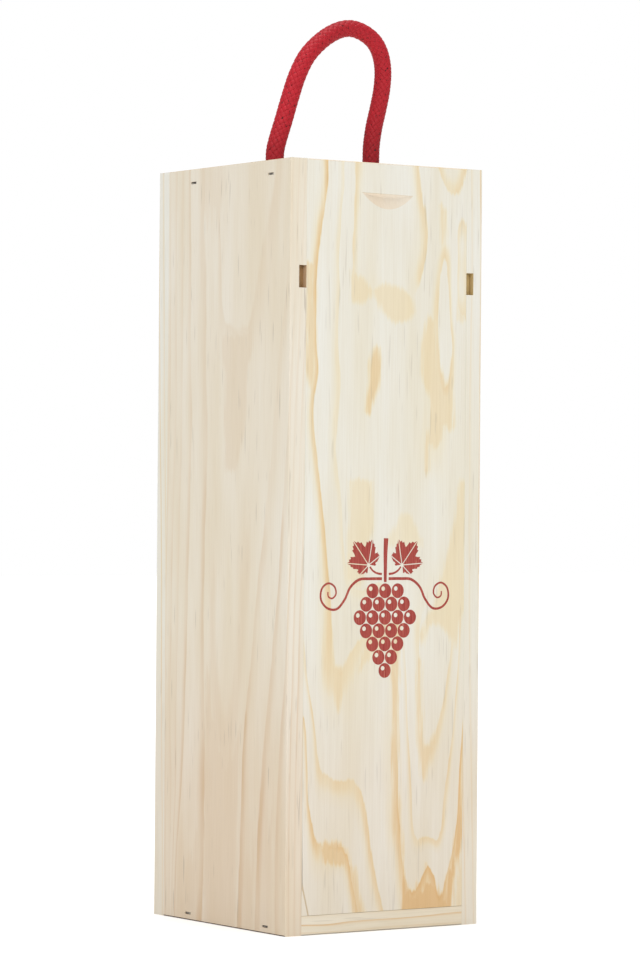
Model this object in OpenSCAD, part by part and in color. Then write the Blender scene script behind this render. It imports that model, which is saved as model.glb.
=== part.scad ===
// Wooden wine box for one bottle, standing upright. Two side panels are
// grooved near their front edges, and the front is a lid that slides up and
// out of the grooves. A neck rest sits in dadoes behind the lid, and a rope
// handle comes out of two holes in the top end and is knotted inside.
//
// Millimetres. +Z is up, +X is to the right seen from the front, and the lid
// faces -Y. The origin is the middle of the underside.

/* [Box] */
// Width across the front
box_w = 110; // [100:1:140]
// Depth from the lid's face to the back
box_d = 115; // [105:1:150]
// Height of the boards
box_h = 360; // [320:1:420]

/* [Boards] */
// Thickness of the two side panels
side_t = 9; // [8:0.5:12]
// Thickness of the back panel
back_t = 9; // [6:0.5:12]
// Thickness of the top end
top_t = 9; // [8:0.5:12]
// Thickness of the bottom end
bottom_t = 9; // [8:0.5:12]

/* [Sliding lid] */
// Thickness of the lid
lid_t = 6; // [5.5:0.5:8]
// Thickness of the side panels' lips in front of the tongues
lip_t = 3; // [2:0.25:3.5]
// Depth of the grooves in the side panels
groove_d = 4.2; // [3:0.1:5]
// Clearance beside, before and behind the lid
lid_fit = 0.3; // [0.2:0.05:0.5]

/* [Thumb notch] */
// Width of the notch at its straight top edge
thumb_w = 29; // [20:1:40]
// Height of the notch from its straight edge down
thumb_h = 7; // [5:0.5:12]
// Depth of the notch at its straight edge
thumb_d = 1.5; // [1:0.25:2.5]
// Drop of the straight edge below the lid's top
thumb_drop = 14.5; // [10:0.5:30]

/* [Neck rest] */
// Thickness of the neck rest
rest_t = 10; // [8:0.5:14]
// Drop of the neck rest's underside below the top of the box
rest_drop = 60; // [54:1:90]
// Width of the notch for the bottle's neck
neck_w = 33; // [28:1:36]
// Depth of the dadoes in the side panels
dado_d = 4.1; // [3:0.1:5]
// Play of the neck rest under the dadoes' upper faces
dado_play = 0.4; // [0.1:0.1:0.8]

/* [Rope handle] */
// Diameter of the rope
rope_d = 9; // [7:0.5:10]
// Distance between the two rope holes
rope_span = 56; // [52:1:60]
// Place of the rope holes before (-) or behind (+) the middle
rope_y = -3; // [-8:0.5:8]
// Clearance round the rope in its holes
rope_fit = 0.5; // [0.3:0.1:1]
// Height of the loop's centreline over the box
handle_h = 70; // [50:1:90]
// Gap between the wood and the loop's feet, in which the loop flops
foot_gap = 0.3; // [0.2:0.05:0.5]
// Diameter of the knots
knot_d = 21; // [17:0.5:22]
// Width of the ring of wood that a knot bears on, round its hole
knot_bearing = 1.5; // [1:0.25:2]
// Length of the rope's tail below each knot
tail_l = 10; // [4:1:12]

/* [Staples] */
// Width of a staple's crown
crown_w = 4.5; // [4:0.5:8]
// Width of the staple wire
wire_w = 0.8; // [0.6:0.1:1.5]
// Thickness of the staple wire
wire_t = 0.7; // [0.5:0.1:1]
// Length of a staple's legs
leg_l = 16; // [13:1:22]
// How deep the crowns are driven below the wood
crown_sink = 0.3; // [0.1:0.1:0.6]
// Room round a crown in its dent
dent_fit = 0.15; // [0.1:0.05:0.4]
// Height of the lower side staples over the base
staple_low = 3.2; // [2:0.1:4.5]
// Drop of the upper side staples below the top
staple_top = 6.6; // [3:0.1:7]
// Distance of the front side staples from the lid's face
staple_front = 17; // [12:0.5:30]
// Distance of the rear side staples from the back of the box
staple_rear = 31; // [20:0.5:40]
// Distance of the outer back staples from the box's ends
staple_end = 25; // [18:1:35]
// Distance between the back staples in each end panel
staple_gap = 44; // [30:1:60]

/* [Hidden] */

PINE = "#EBDDC0";
ROPE = "#B3172A";
STEEL = "#8E8A84";

LEFT = -1;
RIGHT = 1;
// Overrun of a cut past the face it breaks through
CUT = 1;
ROUND = 64;

// Planes of the box
inner_x = box_w / 2 - side_t;
front_y = -box_d / 2;
back_y = box_d / 2 - back_t;
top_z = box_h - top_t;

// The lid's tongues run in the grooves, one clearance from each face
groove_y = front_y + lip_t;
lid_back_y = front_y + lid_t;
groove_w = lid_t - lip_t + lid_fit;
lid_bottom_z = bottom_t + lid_fit;

// The top end and the neck rest stop just behind the lid
inner_front_y = lid_back_y + lid_fit;
rest_z = box_h - rest_drop;
dado_h = rest_t + dado_play;
// The neck notch ends round the middle of the inside
neck_y = (inner_front_y + back_y) / 2;

// The thumb notch is a slice off a large cylinder, tilted so that it runs out
thumb_tilt = atan(thumb_d / thumb_h);
thumb_r = (pow(thumb_w / 2, 2) + pow(thumb_d, 2)) / (2 * thumb_d * cos(thumb_tilt));
thumb_z = box_h - thumb_drop;

rope_r = rope_d / 2;
hole_d = rope_d + 2 * rope_fit;
// The loop flops about the middles of its two rounded feet
pivot_z = box_h + foot_gap + rope_r;

// A knot is a ball, pulled flat where it bears on the wood round its hole
knot_r = knot_d / 2;
knot_flat_r = hole_d / 2 + knot_bearing;
knot_drop = sqrt(pow(knot_r, 2) - pow(knot_flat_r, 2));

// The loop's centreline: shares of half the span, and of the loop's height
// from its feet to its highest point
LOOP = [
    [-1.00, 0.00], [-0.99, 0.06], [-0.94, 0.14], [-0.82, 0.29],
    [-0.69, 0.46], [-0.55, 0.62], [-0.35, 0.77], [-0.06, 0.89],
    [0.25, 0.97], [0.53, 1.00], [0.80, 0.98], [1.04, 0.92],
    [1.18, 0.83], [1.24, 0.71], [1.22, 0.57], [1.15, 0.43],
    [1.06, 0.28], [1.01, 0.15], [1.00, 0.06], [1.00, 0.00]
];
// Rings between two points of the loop, sides of its tube, rings of a foot
LOOP_STEPS = 3;
TUBE_SIDES = 12;
FOOT_RINGS = 3;

// The back staples of one side panel: how many, and the first one's height
BACK_STAPLES = 5;
back_staple_step = (box_h - 2 * staple_end) / (BACK_STAPLES - 1);

// ---- Boards -------------------------------------------------------------

// One side panel in its place: grooved for the lid, with a dado for the neck
// rest cut right across, and with dents where the staples are driven
module side_panel(side) {
    x_low = side == LEFT ? -box_w / 2 : inner_x;
    color(PINE) difference() {
        translate([x_low, front_y, 0]) cube([side_t, back_y - front_y, box_h]);
        trench(side, groove_d, groove_y, groove_y + groove_w, -CUT, box_h + CUT);
        trench(side, dado_d, front_y - CUT, back_y + CUT, rest_z, rest_z + dado_h);
        at_side_staples(side) staple_dent();
    }
}

// A trench in a side panel's inner face
module trench(side, depth, y_low, y_high, z_low, z_high) {
    x_low = side == LEFT ? -inner_x - depth : inner_x - CUT;
    translate([x_low, y_low, z_low])
        cube([depth + CUT, y_high - y_low, z_high - z_low]);
}

// The back panel lies over the back edges of the sides and the ends
module back_panel() {
    color(PINE) difference() {
        translate([-box_w / 2, back_y, 0]) cube([box_w, back_t, box_h]);
        at_back_side_staples(LEFT) staple_dent();
        at_back_side_staples(RIGHT) staple_dent();
        at_back_end_staples() staple_dent();
    }
}

// The bottom end reaches the front, and the lid stands on it
module bottom_end() {
    color(PINE) translate([-inner_x, front_y, 0])
        cube([2 * inner_x, back_y - front_y, bottom_t]);
}

// The top end stops behind the lid, and has the two rope holes
module top_end() {
    color(PINE) difference() {
        translate([-inner_x, inner_front_y, top_z])
            cube([2 * inner_x, back_y - inner_front_y, top_t]);
        for (side = [LEFT, RIGHT])
            at_rope(side, top_z - CUT)
                cylinder(h = top_t + 2 * CUT, d = hole_d, $fn = ROUND);
    }
}

// The lid: a face that fills the opening, and a wider back whose edges are
// the tongues
module sliding_lid() {
    face_w = 2 * (inner_x - lid_fit);
    tongue_w = 2 * (inner_x + groove_d - lid_fit);
    tongue_y = groove_y + lid_fit;
    height = box_h - lid_bottom_z;
    color(PINE) difference() {
        union() {
            translate([-face_w / 2, front_y, lid_bottom_z])
                cube([face_w, lid_t, height]);
            translate([-tongue_w / 2, tongue_y, lid_bottom_z])
                cube([tongue_w, lid_back_y - tongue_y, height]);
        }
        thumb_notch();
    }
}

// The scoop that a thumb pushes the lid up by: deepest at a straight edge
module thumb_notch() {
    reach = 2 * thumb_h;
    intersection() {
        translate([-thumb_w, front_y - CUT, thumb_z - reach])
            cube([2 * thumb_w, CUT + 2 * thumb_d, reach]);
        translate([0, front_y + thumb_d, thumb_z])
            rotate([-thumb_tilt, 0, 0])
            translate([0, -thumb_r, -reach])
            cylinder(h = 2 * reach, r = thumb_r, $fn = 4 * ROUND);
    }
}

// The neck rest, with a notch that is open towards the lid
module neck_rest() {
    rest_w = 2 * (inner_x + dado_d);
    color(PINE) difference() {
        translate([-rest_w / 2, inner_front_y, rest_z])
            cube([rest_w, back_y - inner_front_y, rest_t]);
        translate([-neck_w / 2, inner_front_y - CUT, rest_z - CUT])
            cube([neck_w, neck_y - inner_front_y + CUT, rest_t + 2 * CUT]);
        translate([0, neck_y, rest_z - CUT])
            cylinder(h = rest_t + 2 * CUT, d = neck_w, $fn = ROUND);
    }
}

// ---- Rope ---------------------------------------------------------------

// The axis of one rope hole at a height
module at_rope(side, z) {
    translate([side * rope_span / 2, rope_y, z]) children();
}

// A point of the loop's centreline in the plane of the loop
function loop_point(i) = [
    LOOP[i][0] * rope_span / 2,
    pivot_z + LOOP[i][1] * (box_h + handle_h - pivot_z)
];

// A smooth curve through four points in a row, t of the way from b to c
function through(a, b, c, d, t) =
    0.5 * (2 * b + (c - a) * t + (2 * a - 5 * b + 4 * c - d) * t * t
        + (3 * b - a - 3 * c + d) * t * t * t);

last = len(LOOP) - 1;

// The centreline with LOOP_STEPS points for each stretch
line = [
    for (i = [0:last - 1], k = [0:LOOP_STEPS - 1])
        through(loop_point(max(i - 1, 0)), loop_point(i), loop_point(i + 1),
            loop_point(min(i + 2, last)), k / LOOP_STEPS),
    loop_point(last)
];

// The direction of the centreline at its point i
function heading(i) =
    let (step = line[min(i + 1, len(line) - 1)] - line[max(i - 1, 0)])
    step / norm(step);

// A ring of the tube: its middle, its direction and its radius
function ring(middle, way, radius) = [
    for (s = [0:TUBE_SIDES - 1])
        let (across = radius * cos(360 * s / TUBE_SIDES))
        [
            middle[0] - way[1] * across,
            rope_y + radius * sin(360 * s / TUBE_SIDES),
            middle[1] + way[0] * across
        ]
];

// The rings of a rounded foot, from its tip inwards (or outwards, if sign is 1)
function foot(i, sign) = [
    for (k = [0:FOOT_RINGS - 1])
        let (
            turn = (sign < 0 ? FOOT_RINGS - k : k + 1) * 90 / (FOOT_RINGS + 0.5),
            middle = line[i] + sign * rope_r * sin(turn) * heading(i)
        )
        ring(middle, heading(i), rope_r * cos(turn))
];

// The loop above the box, as one swept tube with rounded feet
module rope_handle() {
    rings = concat(
        foot(0, -1),
        [for (i = [0:len(line) - 1]) ring(line[i], heading(i), rope_r)],
        foot(len(line) - 1, 1)
    );
    points = [for (r = rings, p = r) p];
    n = TUBE_SIDES;
    walls = [
        for (r = [0:len(rings) - 2], s = [0:n - 1])
            let (a = r * n + s, b = r * n + (s + 1) % n)
            [b, a, a + n, b + n]
    ];
    first_cap = [for (s = [0:n - 1]) s];
    last_cap = [for (s = [n - 1:-1:0]) (len(rings) - 1) * n + s];
    color(ROPE) polyhedron(points, concat([first_cap], walls, [last_cap]));
}

// The rope's end in its hole, from the knot to the top of the box
module rope_end(side) {
    color(ROPE) at_rope(side, top_z) cylinder(h = top_t, d = rope_d, $fn = ROUND);
}

// A knot that bears on the underside of the top end, with the rope's tail
module rope_knot(side) {
    color(ROPE) at_rope(side, top_z) {
        difference() {
            translate([0, 0, -knot_drop]) sphere(r = knot_r, $fn = ROUND);
            translate([-knot_r, -knot_r, 0]) cube([knot_d, knot_d, knot_r]);
        }
        translate([0, 0, -knot_drop - knot_r - tail_l])
            cylinder(h = knot_r + tail_l, d = rope_d, $fn = ROUND);
    }
}

// ---- Staples ------------------------------------------------------------

// A staple driven along +X, its crown along Y, the wood's face at x = 0
module staple() {
    translate([crown_sink, -crown_w / 2, -wire_w / 2])
        cube([wire_t, crown_w, wire_w]);
    for (end = [0, 1])
        translate([crown_sink + wire_t, end * (crown_w - wire_t) - crown_w / 2, -wire_w / 2])
            cube([leg_l - wire_t, wire_t, wire_w]);
}

// The dent that a crown is driven into, as deep as the crown
module staple_dent() {
    depth = crown_sink + wire_t;
    wide = crown_w + 2 * dent_fit;
    high = wire_w + 2 * dent_fit;
    translate([-CUT, -wide / 2, -high / 2]) cube([depth + CUT, wide, high]);
}

// The four staples that hold one side panel to the two ends
module at_side_staples(side) {
    for (y = [front_y + staple_front, box_d / 2 - staple_rear],
            z = [staple_low, box_h - staple_top])
        translate([side * box_w / 2, y, z])
            rotate([0, 0, side == LEFT ? 0 : 180]) children();
}

// The row of staples that holds the back panel to one side panel
module at_back_side_staples(side) {
    for (i = [0:BACK_STAPLES - 1])
        translate([side * (inner_x + side_t / 2), box_d / 2,
                staple_end + i * back_staple_step])
            rotate([90, 0, -90]) children();
}

// The staples that hold the back panel to the two ends
module at_back_end_staples() {
    for (side = [LEFT, RIGHT], z = [bottom_t / 2, box_h - top_t / 2])
        translate([side * staple_gap / 2, box_d / 2, z])
            rotate([0, 0, -90]) children();
}

module side_staples(side) {
    color(STEEL) at_side_staples(side) staple();
}

module back_staples(side) {
    color(STEEL) at_back_side_staples(side) staple();
}

module back_staples_ends() {
    color(STEEL) at_back_end_staples() staple();
}

// ---- Nodes --------------------------------------------------------------

side_panel(LEFT);  // side_panel_left
side_panel(RIGHT);  // side_panel_right
back_panel();
bottom_end();
top_end();
sliding_lid();
neck_rest();
rope_handle();
rope_end(LEFT);  // rope_end_left
rope_end(RIGHT);  // rope_end_right
rope_knot(LEFT);  // rope_knot_left
rope_knot(RIGHT);  // rope_knot_right
side_staples(LEFT);  // side_staples_left
side_staples(RIGHT);  // side_staples_right
back_staples(LEFT);  // back_staples_left
back_staples(RIGHT);  // back_staples_right
back_staples_ends();
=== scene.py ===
"""Dress the wooden wine box: planed pine boards, a printed sliding lid, a braided rope and staples.

Lengths and places are in millimetres, in the box's own frame: +Z is up, +X is to the right seen
from the front, and the lid faces -Y. A finished mesh is scaled to metres as its piece is made.
"""

import logging
import math
from collections.abc import Callable, Iterable, Sequence
from dataclasses import dataclass, field, replace
from enum import Enum, IntEnum

import bmesh
import bpy
import numpy as np
from bpy.types import Material, Node, NodeSocket, NodeTree, Object
from mathutils import Matrix, Vector


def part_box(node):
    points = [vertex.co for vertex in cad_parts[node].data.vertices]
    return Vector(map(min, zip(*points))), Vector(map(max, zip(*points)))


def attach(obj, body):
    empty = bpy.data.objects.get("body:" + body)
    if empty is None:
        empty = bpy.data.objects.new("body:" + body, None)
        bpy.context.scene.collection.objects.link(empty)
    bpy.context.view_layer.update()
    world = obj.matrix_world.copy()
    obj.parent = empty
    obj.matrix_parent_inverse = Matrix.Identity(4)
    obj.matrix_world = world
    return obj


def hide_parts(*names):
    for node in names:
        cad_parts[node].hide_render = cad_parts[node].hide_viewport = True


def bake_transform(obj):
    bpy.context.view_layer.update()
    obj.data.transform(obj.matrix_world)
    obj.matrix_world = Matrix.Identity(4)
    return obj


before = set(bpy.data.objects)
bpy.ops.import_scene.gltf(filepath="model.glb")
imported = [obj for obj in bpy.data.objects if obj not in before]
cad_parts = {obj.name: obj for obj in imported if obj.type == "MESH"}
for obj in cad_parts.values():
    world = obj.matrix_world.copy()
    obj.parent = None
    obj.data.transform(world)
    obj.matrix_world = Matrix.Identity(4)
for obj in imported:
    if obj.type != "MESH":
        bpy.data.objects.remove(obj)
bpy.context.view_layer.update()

log = logging.getLogger("wine_box")

MM = 0.001
PER_METRE = 1000.0

# An edge that turns more than this is sharp
SHARP_ANGLE = math.radians(40)
# Faces that turn less than this from one to the next are one flat face
FLAT_ANGLE = math.radians(1)
# Corners nearer to each other than this are one
MERGED = 0.002
# A corner nearer to a plane than this lies on it
TOUCHING = 0.01

BOX = "box"
LID = "lid"

# The attributes of a board whose figure is worked out on its mesh
RINGS = "rings"
DEPTH = "depth"
POOLS = "pools"
POOL_DEPTH = "pool_depth"
# The attribute of a rope that says how high its strands lie
LIFT = "lift"
# How far from its outline a place is well inside a pool
POOL_EDGE = 3.0
# The share of a ring by which a board's rings are ragged, with a figure and without one
RAGGED = 0.12
PLAIN_RAGGED = 0.10
# A distance that is as good as none
TINY = 1e-6


# ---- Small helpers ------------------------------------------------------------------------


def to_linear(hex_colour: str) -> tuple[float, float, float, float]:
    """Turn an sRGB colour into the linear RGBA that a node wants.

    Args:
        hex_colour: the colour as #RRGGBB.

    Returns:
        Red, green, blue and an alpha of 1.
    """
    parts = [int(hex_colour[i : i + 2], 16) / 255 for i in (1, 3, 5)]
    linear = [c / 12.92 if c <= 0.04045 else ((c + 0.055) / 1.055) ** 2.4 for c in parts]
    return (*linear, 1.0)


def feed(node: Node, inputs: dict[str | int, object]) -> None:
    """Feed a node's inputs.

    Args:
        node: the node.
        inputs: what each input gets: a socket is linked to it, anything else is its fixed value.
    """
    for name, value in inputs.items():
        if isinstance(value, NodeSocket):
            node.id_data.links.new(value, node.inputs[name])
        else:
            node.inputs[name].default_value = value


def add_node(
    tree: NodeTree,
    kind: str,
    inputs: dict[str | int, object] | None = None,
    output: str | int = 0,
    stops: Sequence[tuple[float, str | float]] = (),
    **settings: object,
) -> NodeSocket | None:
    """Add one shader node.

    Args:
        tree: the node tree that gets it.
        kind: its type, without the word ShaderNode.
        inputs: what its inputs get.
        output: the output that is wanted.
        stops: the places and the colours or greys of its ramp.
        settings: its properties.

    Returns:
        The wanted output, or None where the node ends its tree.
    """
    node = tree.nodes.new(f"ShaderNode{kind}")
    for name, value in settings.items():
        setattr(node, name, value)
    if stops:
        elements = node.color_ramp.elements
        while len(elements) < len(stops):
            elements.new(0.5)
        for element, (place, colour) in zip(elements, stops, strict=True):
            element.position = place
            element.color = to_linear(colour) if isinstance(colour, str) else (colour,) * 3 + (1.0,)
    feed(node, inputs or {})
    return node.outputs[output] if node.outputs else None


def new_material(name: str) -> tuple[Material, NodeTree, Node]:
    """Start a material that holds only its shader and its output.

    Args:
        name: the finish's name.

    Returns:
        The material, its node tree and its Principled node.
    """
    material = bpy.data.materials.new(name)
    material.use_nodes = True
    tree = material.node_tree
    tree.nodes.clear()
    surface = add_node(tree, "BsdfPrincipled")
    add_node(tree, "OutputMaterial", {"Surface": surface})
    return material, tree, surface.node


def put_in_scene(name: str, data: bpy.types.ID) -> Object:
    """Put a new object into the scene.

    Args:
        name: its name.
        data: its mesh, lamp or camera.

    Returns:
        The object, at the origin.
    """
    made = bpy.data.objects.new(name, data)
    bpy.context.scene.collection.objects.link(made)
    return made


def box_mm(node: str) -> tuple[Vector, Vector]:
    """Give the lowest and the highest corner of a CAD node in millimetres."""
    low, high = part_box(node)
    return low * PER_METRE, high * PER_METRE


def copy_node(node: str) -> bmesh.types.BMesh:
    """Copy a CAD node as clean flat faces.

    Args:
        node: the CAD node's name.

    Returns:
        A mesh in millimetres, with its doubles merged and its flat faces whole.
    """
    bm = bmesh.new()
    bm.from_mesh(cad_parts[node].data)
    bm.transform(Matrix.Scale(PER_METRE, 4))
    bmesh.ops.remove_doubles(bm, verts=bm.verts, dist=MERGED)
    bmesh.ops.dissolve_limit(bm, angle_limit=FLAT_ANGLE, verts=bm.verts, edges=bm.edges)
    return bm


def ease_edges(
    bm: bmesh.types.BMesh, wanted: Callable[[bmesh.types.BMEdge], bool], width: float, steps: int = 2
) -> None:
    """Round the sharp outward edges that are wanted.

    Args:
        bm: the mesh to change.
        wanted: says whether an edge is to be rounded.
        width: the width of the rounding.
        steps: the number of faces across it.
    """
    outward = [e for e in bm.edges if e.is_manifold and e.is_convex]
    sharp = [e for e in outward if e.calc_face_angle(0.0) > SHARP_ANGLE and wanted(e)]
    bmesh.ops.bevel(
        bm,
        geom=sharp,
        offset=width,
        segments=steps,
        profile=0.5,
        affect="EDGES",
        material=-1,
        clamp_overlap=False,
    )


def cut_mesh(
    bm: bmesh.types.BMesh,
    place: Vector,
    normal: Vector,
    faces: Iterable[bmesh.types.BMFace] | None = None,
) -> None:
    """Cut faces in two where they cross a plane.

    Args:
        bm: the mesh to cut.
        place: a point of the plane.
        normal: the direction square to it.
        faces: the faces that may be cut, or None for the whole mesh.
    """
    geom = bm.verts[:] + bm.edges[:] + bm.faces[:]
    if faces is not None:
        geom = list({part for face in faces for part in (*face.verts, *face.edges, face)})
    bmesh.ops.bisect_plane(bm, geom=geom, plane_co=place, plane_no=normal)


def slice_mesh(bm: bmesh.types.BMesh, axis: int, low: float, high: float, step: float) -> None:
    """Cut a mesh across one axis again and again, so that its faces are small.

    Args:
        bm: the mesh to cut.
        axis: 0, 1 or 2 for X, Y or Z.
        low: where the row of cuts starts.
        high: where it stops.
        step: the distance between two cuts.
    """
    count = int((high - low) / step)
    normal = Vector([1.0 if i == axis else 0.0 for i in range(3)])
    for i in range(1, count + 1):
        cut_mesh(bm, normal * (low + i * (high - low) / (count + 1)), normal)


def make_piece(bm: bmesh.types.BMesh, name: str, *materials: Material) -> Object:
    """Make a piece of the scene from a mesh in millimetres.

    Args:
        bm: the mesh, which is used up.
        name: the piece's name.
        materials: its finishes, in the order of its faces' numbers.

    Returns:
        The piece, in metres, at the origin.
    """
    bm.transform(Matrix.Scale(MM, 4))
    mesh = bpy.data.meshes.new(name)
    bm.to_mesh(mesh)
    bm.free()
    for material in materials:
        mesh.materials.append(material)
    return put_in_scene(name, mesh)


def smooth_line(points: Sequence[Sequence[float]], steps: int) -> np.ndarray:
    """Lay a smooth curve through some points.

    Args:
        points: the points.
        steps: the number of stretches from each of them to the next.

    Returns:
        The points of the curve.
    """
    ends = np.array([points[0], *points, points[-1]], float)
    t = np.arange(steps)[:, None] / steps
    line = []
    for a, b, c, d in zip(ends, ends[1:], ends[2:], ends[3:], strict=False):
        bend = (2 * a - 5 * b + 4 * c - d) * t + (3 * b - a - 3 * c + d) * t * t
        line.append(0.5 * (2 * b + (c - a + bend) * t))
    return np.vstack([*line, ends[-1:]])


# ---- Camera, light and floor --------------------------------------------------------------


@dataclass(frozen=True)
class SoftLamp:
    """A square area lamp that points at the box."""

    name: str
    place: tuple[float, float, float]
    power: float
    size: float
    aim: tuple[float, float, float] = (0.0, 0.0, 0.2)

    def build(self) -> None:
        """Hang the lamp."""
        data = bpy.data.lights.new(self.name, "AREA")
        data.shape = "SQUARE"
        data.size = self.size
        data.energy = self.power
        way = Vector(self.aim) - Vector(self.place)
        turn = way.to_track_quat("-Z", "Y").to_matrix().to_4x4()
        put_in_scene(self.name, data).matrix_world = Matrix.Translation(self.place) @ turn


@dataclass(frozen=True)
class Skylight:
    """Even soft light from straight above, as bright far off as it is near the box."""

    strength: float
    softness: float

    def build(self) -> None:
        """Switch the light on."""
        data = bpy.data.lights.new("skylight", "SUN")
        data.energy = self.strength
        data.angle = math.radians(self.softness)
        put_in_scene("skylight", data)


@dataclass(frozen=True)
class Studio:
    """The camera, the soft light and the pale floor, in metres."""

    camera_place: tuple[float, float, float] = (-1.0384, -1.5263, 0.2015)
    camera_yaw: float = 34.271
    camera_pitch: float = 0.306
    camera_roll: float = 0.452
    camera_lens: float = 143.6
    # The nearest and the farthest place that the camera shows
    camera_reach: tuple[float, float] = (0.05, 60.0)
    # The white backdrop, and how much of its light reaches the box
    backdrop: float = 1.0
    sky_light: float = 0.5
    lamps: tuple[SoftLamp | Skylight, ...] = (
        SoftLamp("key", (-1.3, -1.85, 1.3), 17.4, 0.9),
        Skylight(2.4, 40.0),
    )
    floor_size: float = 14.0

    def build(self) -> None:
        """Put up the camera, the lights and the floor."""
        self._camera()
        self._sky()
        for lamp in self.lamps:
            lamp.build()
        self._floor()

    def _camera(self) -> None:
        """Place the camera at its eye point, turned by yaw, pitch and roll."""
        data = bpy.data.cameras.new("camera")
        data.lens = self.camera_lens
        data.clip_start, data.clip_end = self.camera_reach
        camera = put_in_scene("camera", data)
        turn = (
            Matrix.Rotation(math.radians(-self.camera_yaw), 4, "Z")
            @ Matrix.Rotation(math.radians(90 + self.camera_pitch), 4, "X")
            @ Matrix.Rotation(math.radians(self.camera_roll), 4, "Z")
        )
        camera.matrix_world = Matrix.Translation(self.camera_place) @ turn
        bpy.context.scene.camera = camera

    def _sky(self) -> None:
        """Surround the box with a white backdrop that gives off less light than it shows."""
        scene = bpy.context.scene
        scene.view_settings.view_transform = "Standard"
        scene.world = bpy.data.worlds.new("studio")
        scene.world.use_nodes = True
        tree = scene.world.node_tree
        tree.nodes.clear()
        seen = add_node(tree, "LightPath", output="Is Camera Ray")
        glow = {"Value": seen, "To Min": self.sky_light, "To Max": self.backdrop}
        strength = add_node(tree, "MapRange", glow)
        sky = add_node(tree, "Background", {"Color": to_linear("#FFFFFF"), "Strength": strength})
        add_node(tree, "OutputWorld", {"Surface": sky})

    def _floor(self) -> None:
        """Lay a plain white floor under the box."""
        # Painted board: nearly white, without gloss, with a faint unevenness
        material, tree, shader = new_material("matt white studio board")
        coords = add_node(tree, "TexCoord", output="Object")
        cloud = add_node(tree, "TexNoise", {"Vector": coords, "Scale": 3.0})
        tint = add_node(tree, "ValToRGB", {"Fac": cloud}, stops=[(0.3, "#FAFAFA"), (0.7, "#FCFCFC")])
        feed(shader, {"Base Color": tint, "Roughness": 0.9, "Specular IOR Level": 0.1})
        bm = bmesh.new()
        bmesh.ops.create_grid(bm, x_segments=1, y_segments=1, size=self.floor_size / 2 * PER_METRE)
        make_piece(bm, "floor", material)


# ---- Pine ---------------------------------------------------------------------------------


class Grain(Enum):
    """Which way the fibres of a board run."""

    UPRIGHT = "along Z"
    CROSSWISE = "along X"


def fibre_noise(
    tree: NodeTree,
    wood: NodeSocket,
    size: tuple[float, float],
    detail: float = 1.0,
    output: str = "Fac",
) -> NodeSocket:
    """Add an unevenness with a real size across the fibres and along them.

    Args:
        tree: the material's node tree.
        wood: the place in the trunk.
        size: its size across the fibres and along them.
        detail: how much finer unevenness lies on it.
        output: Fac for a number, Color for a vector.

    Returns:
        The socket of the unevenness, about 0.5 in the middle.
    """
    scale = (1 / size[0], 1 / size[0], 1 / size[1])
    place = add_node(tree, "VectorMath", {0: wood, 1: scale}, operation="MULTIPLY")
    return add_node(tree, "TexNoise", {"Vector": place, "Scale": 1.0, "Detail": detail}, output)


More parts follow.
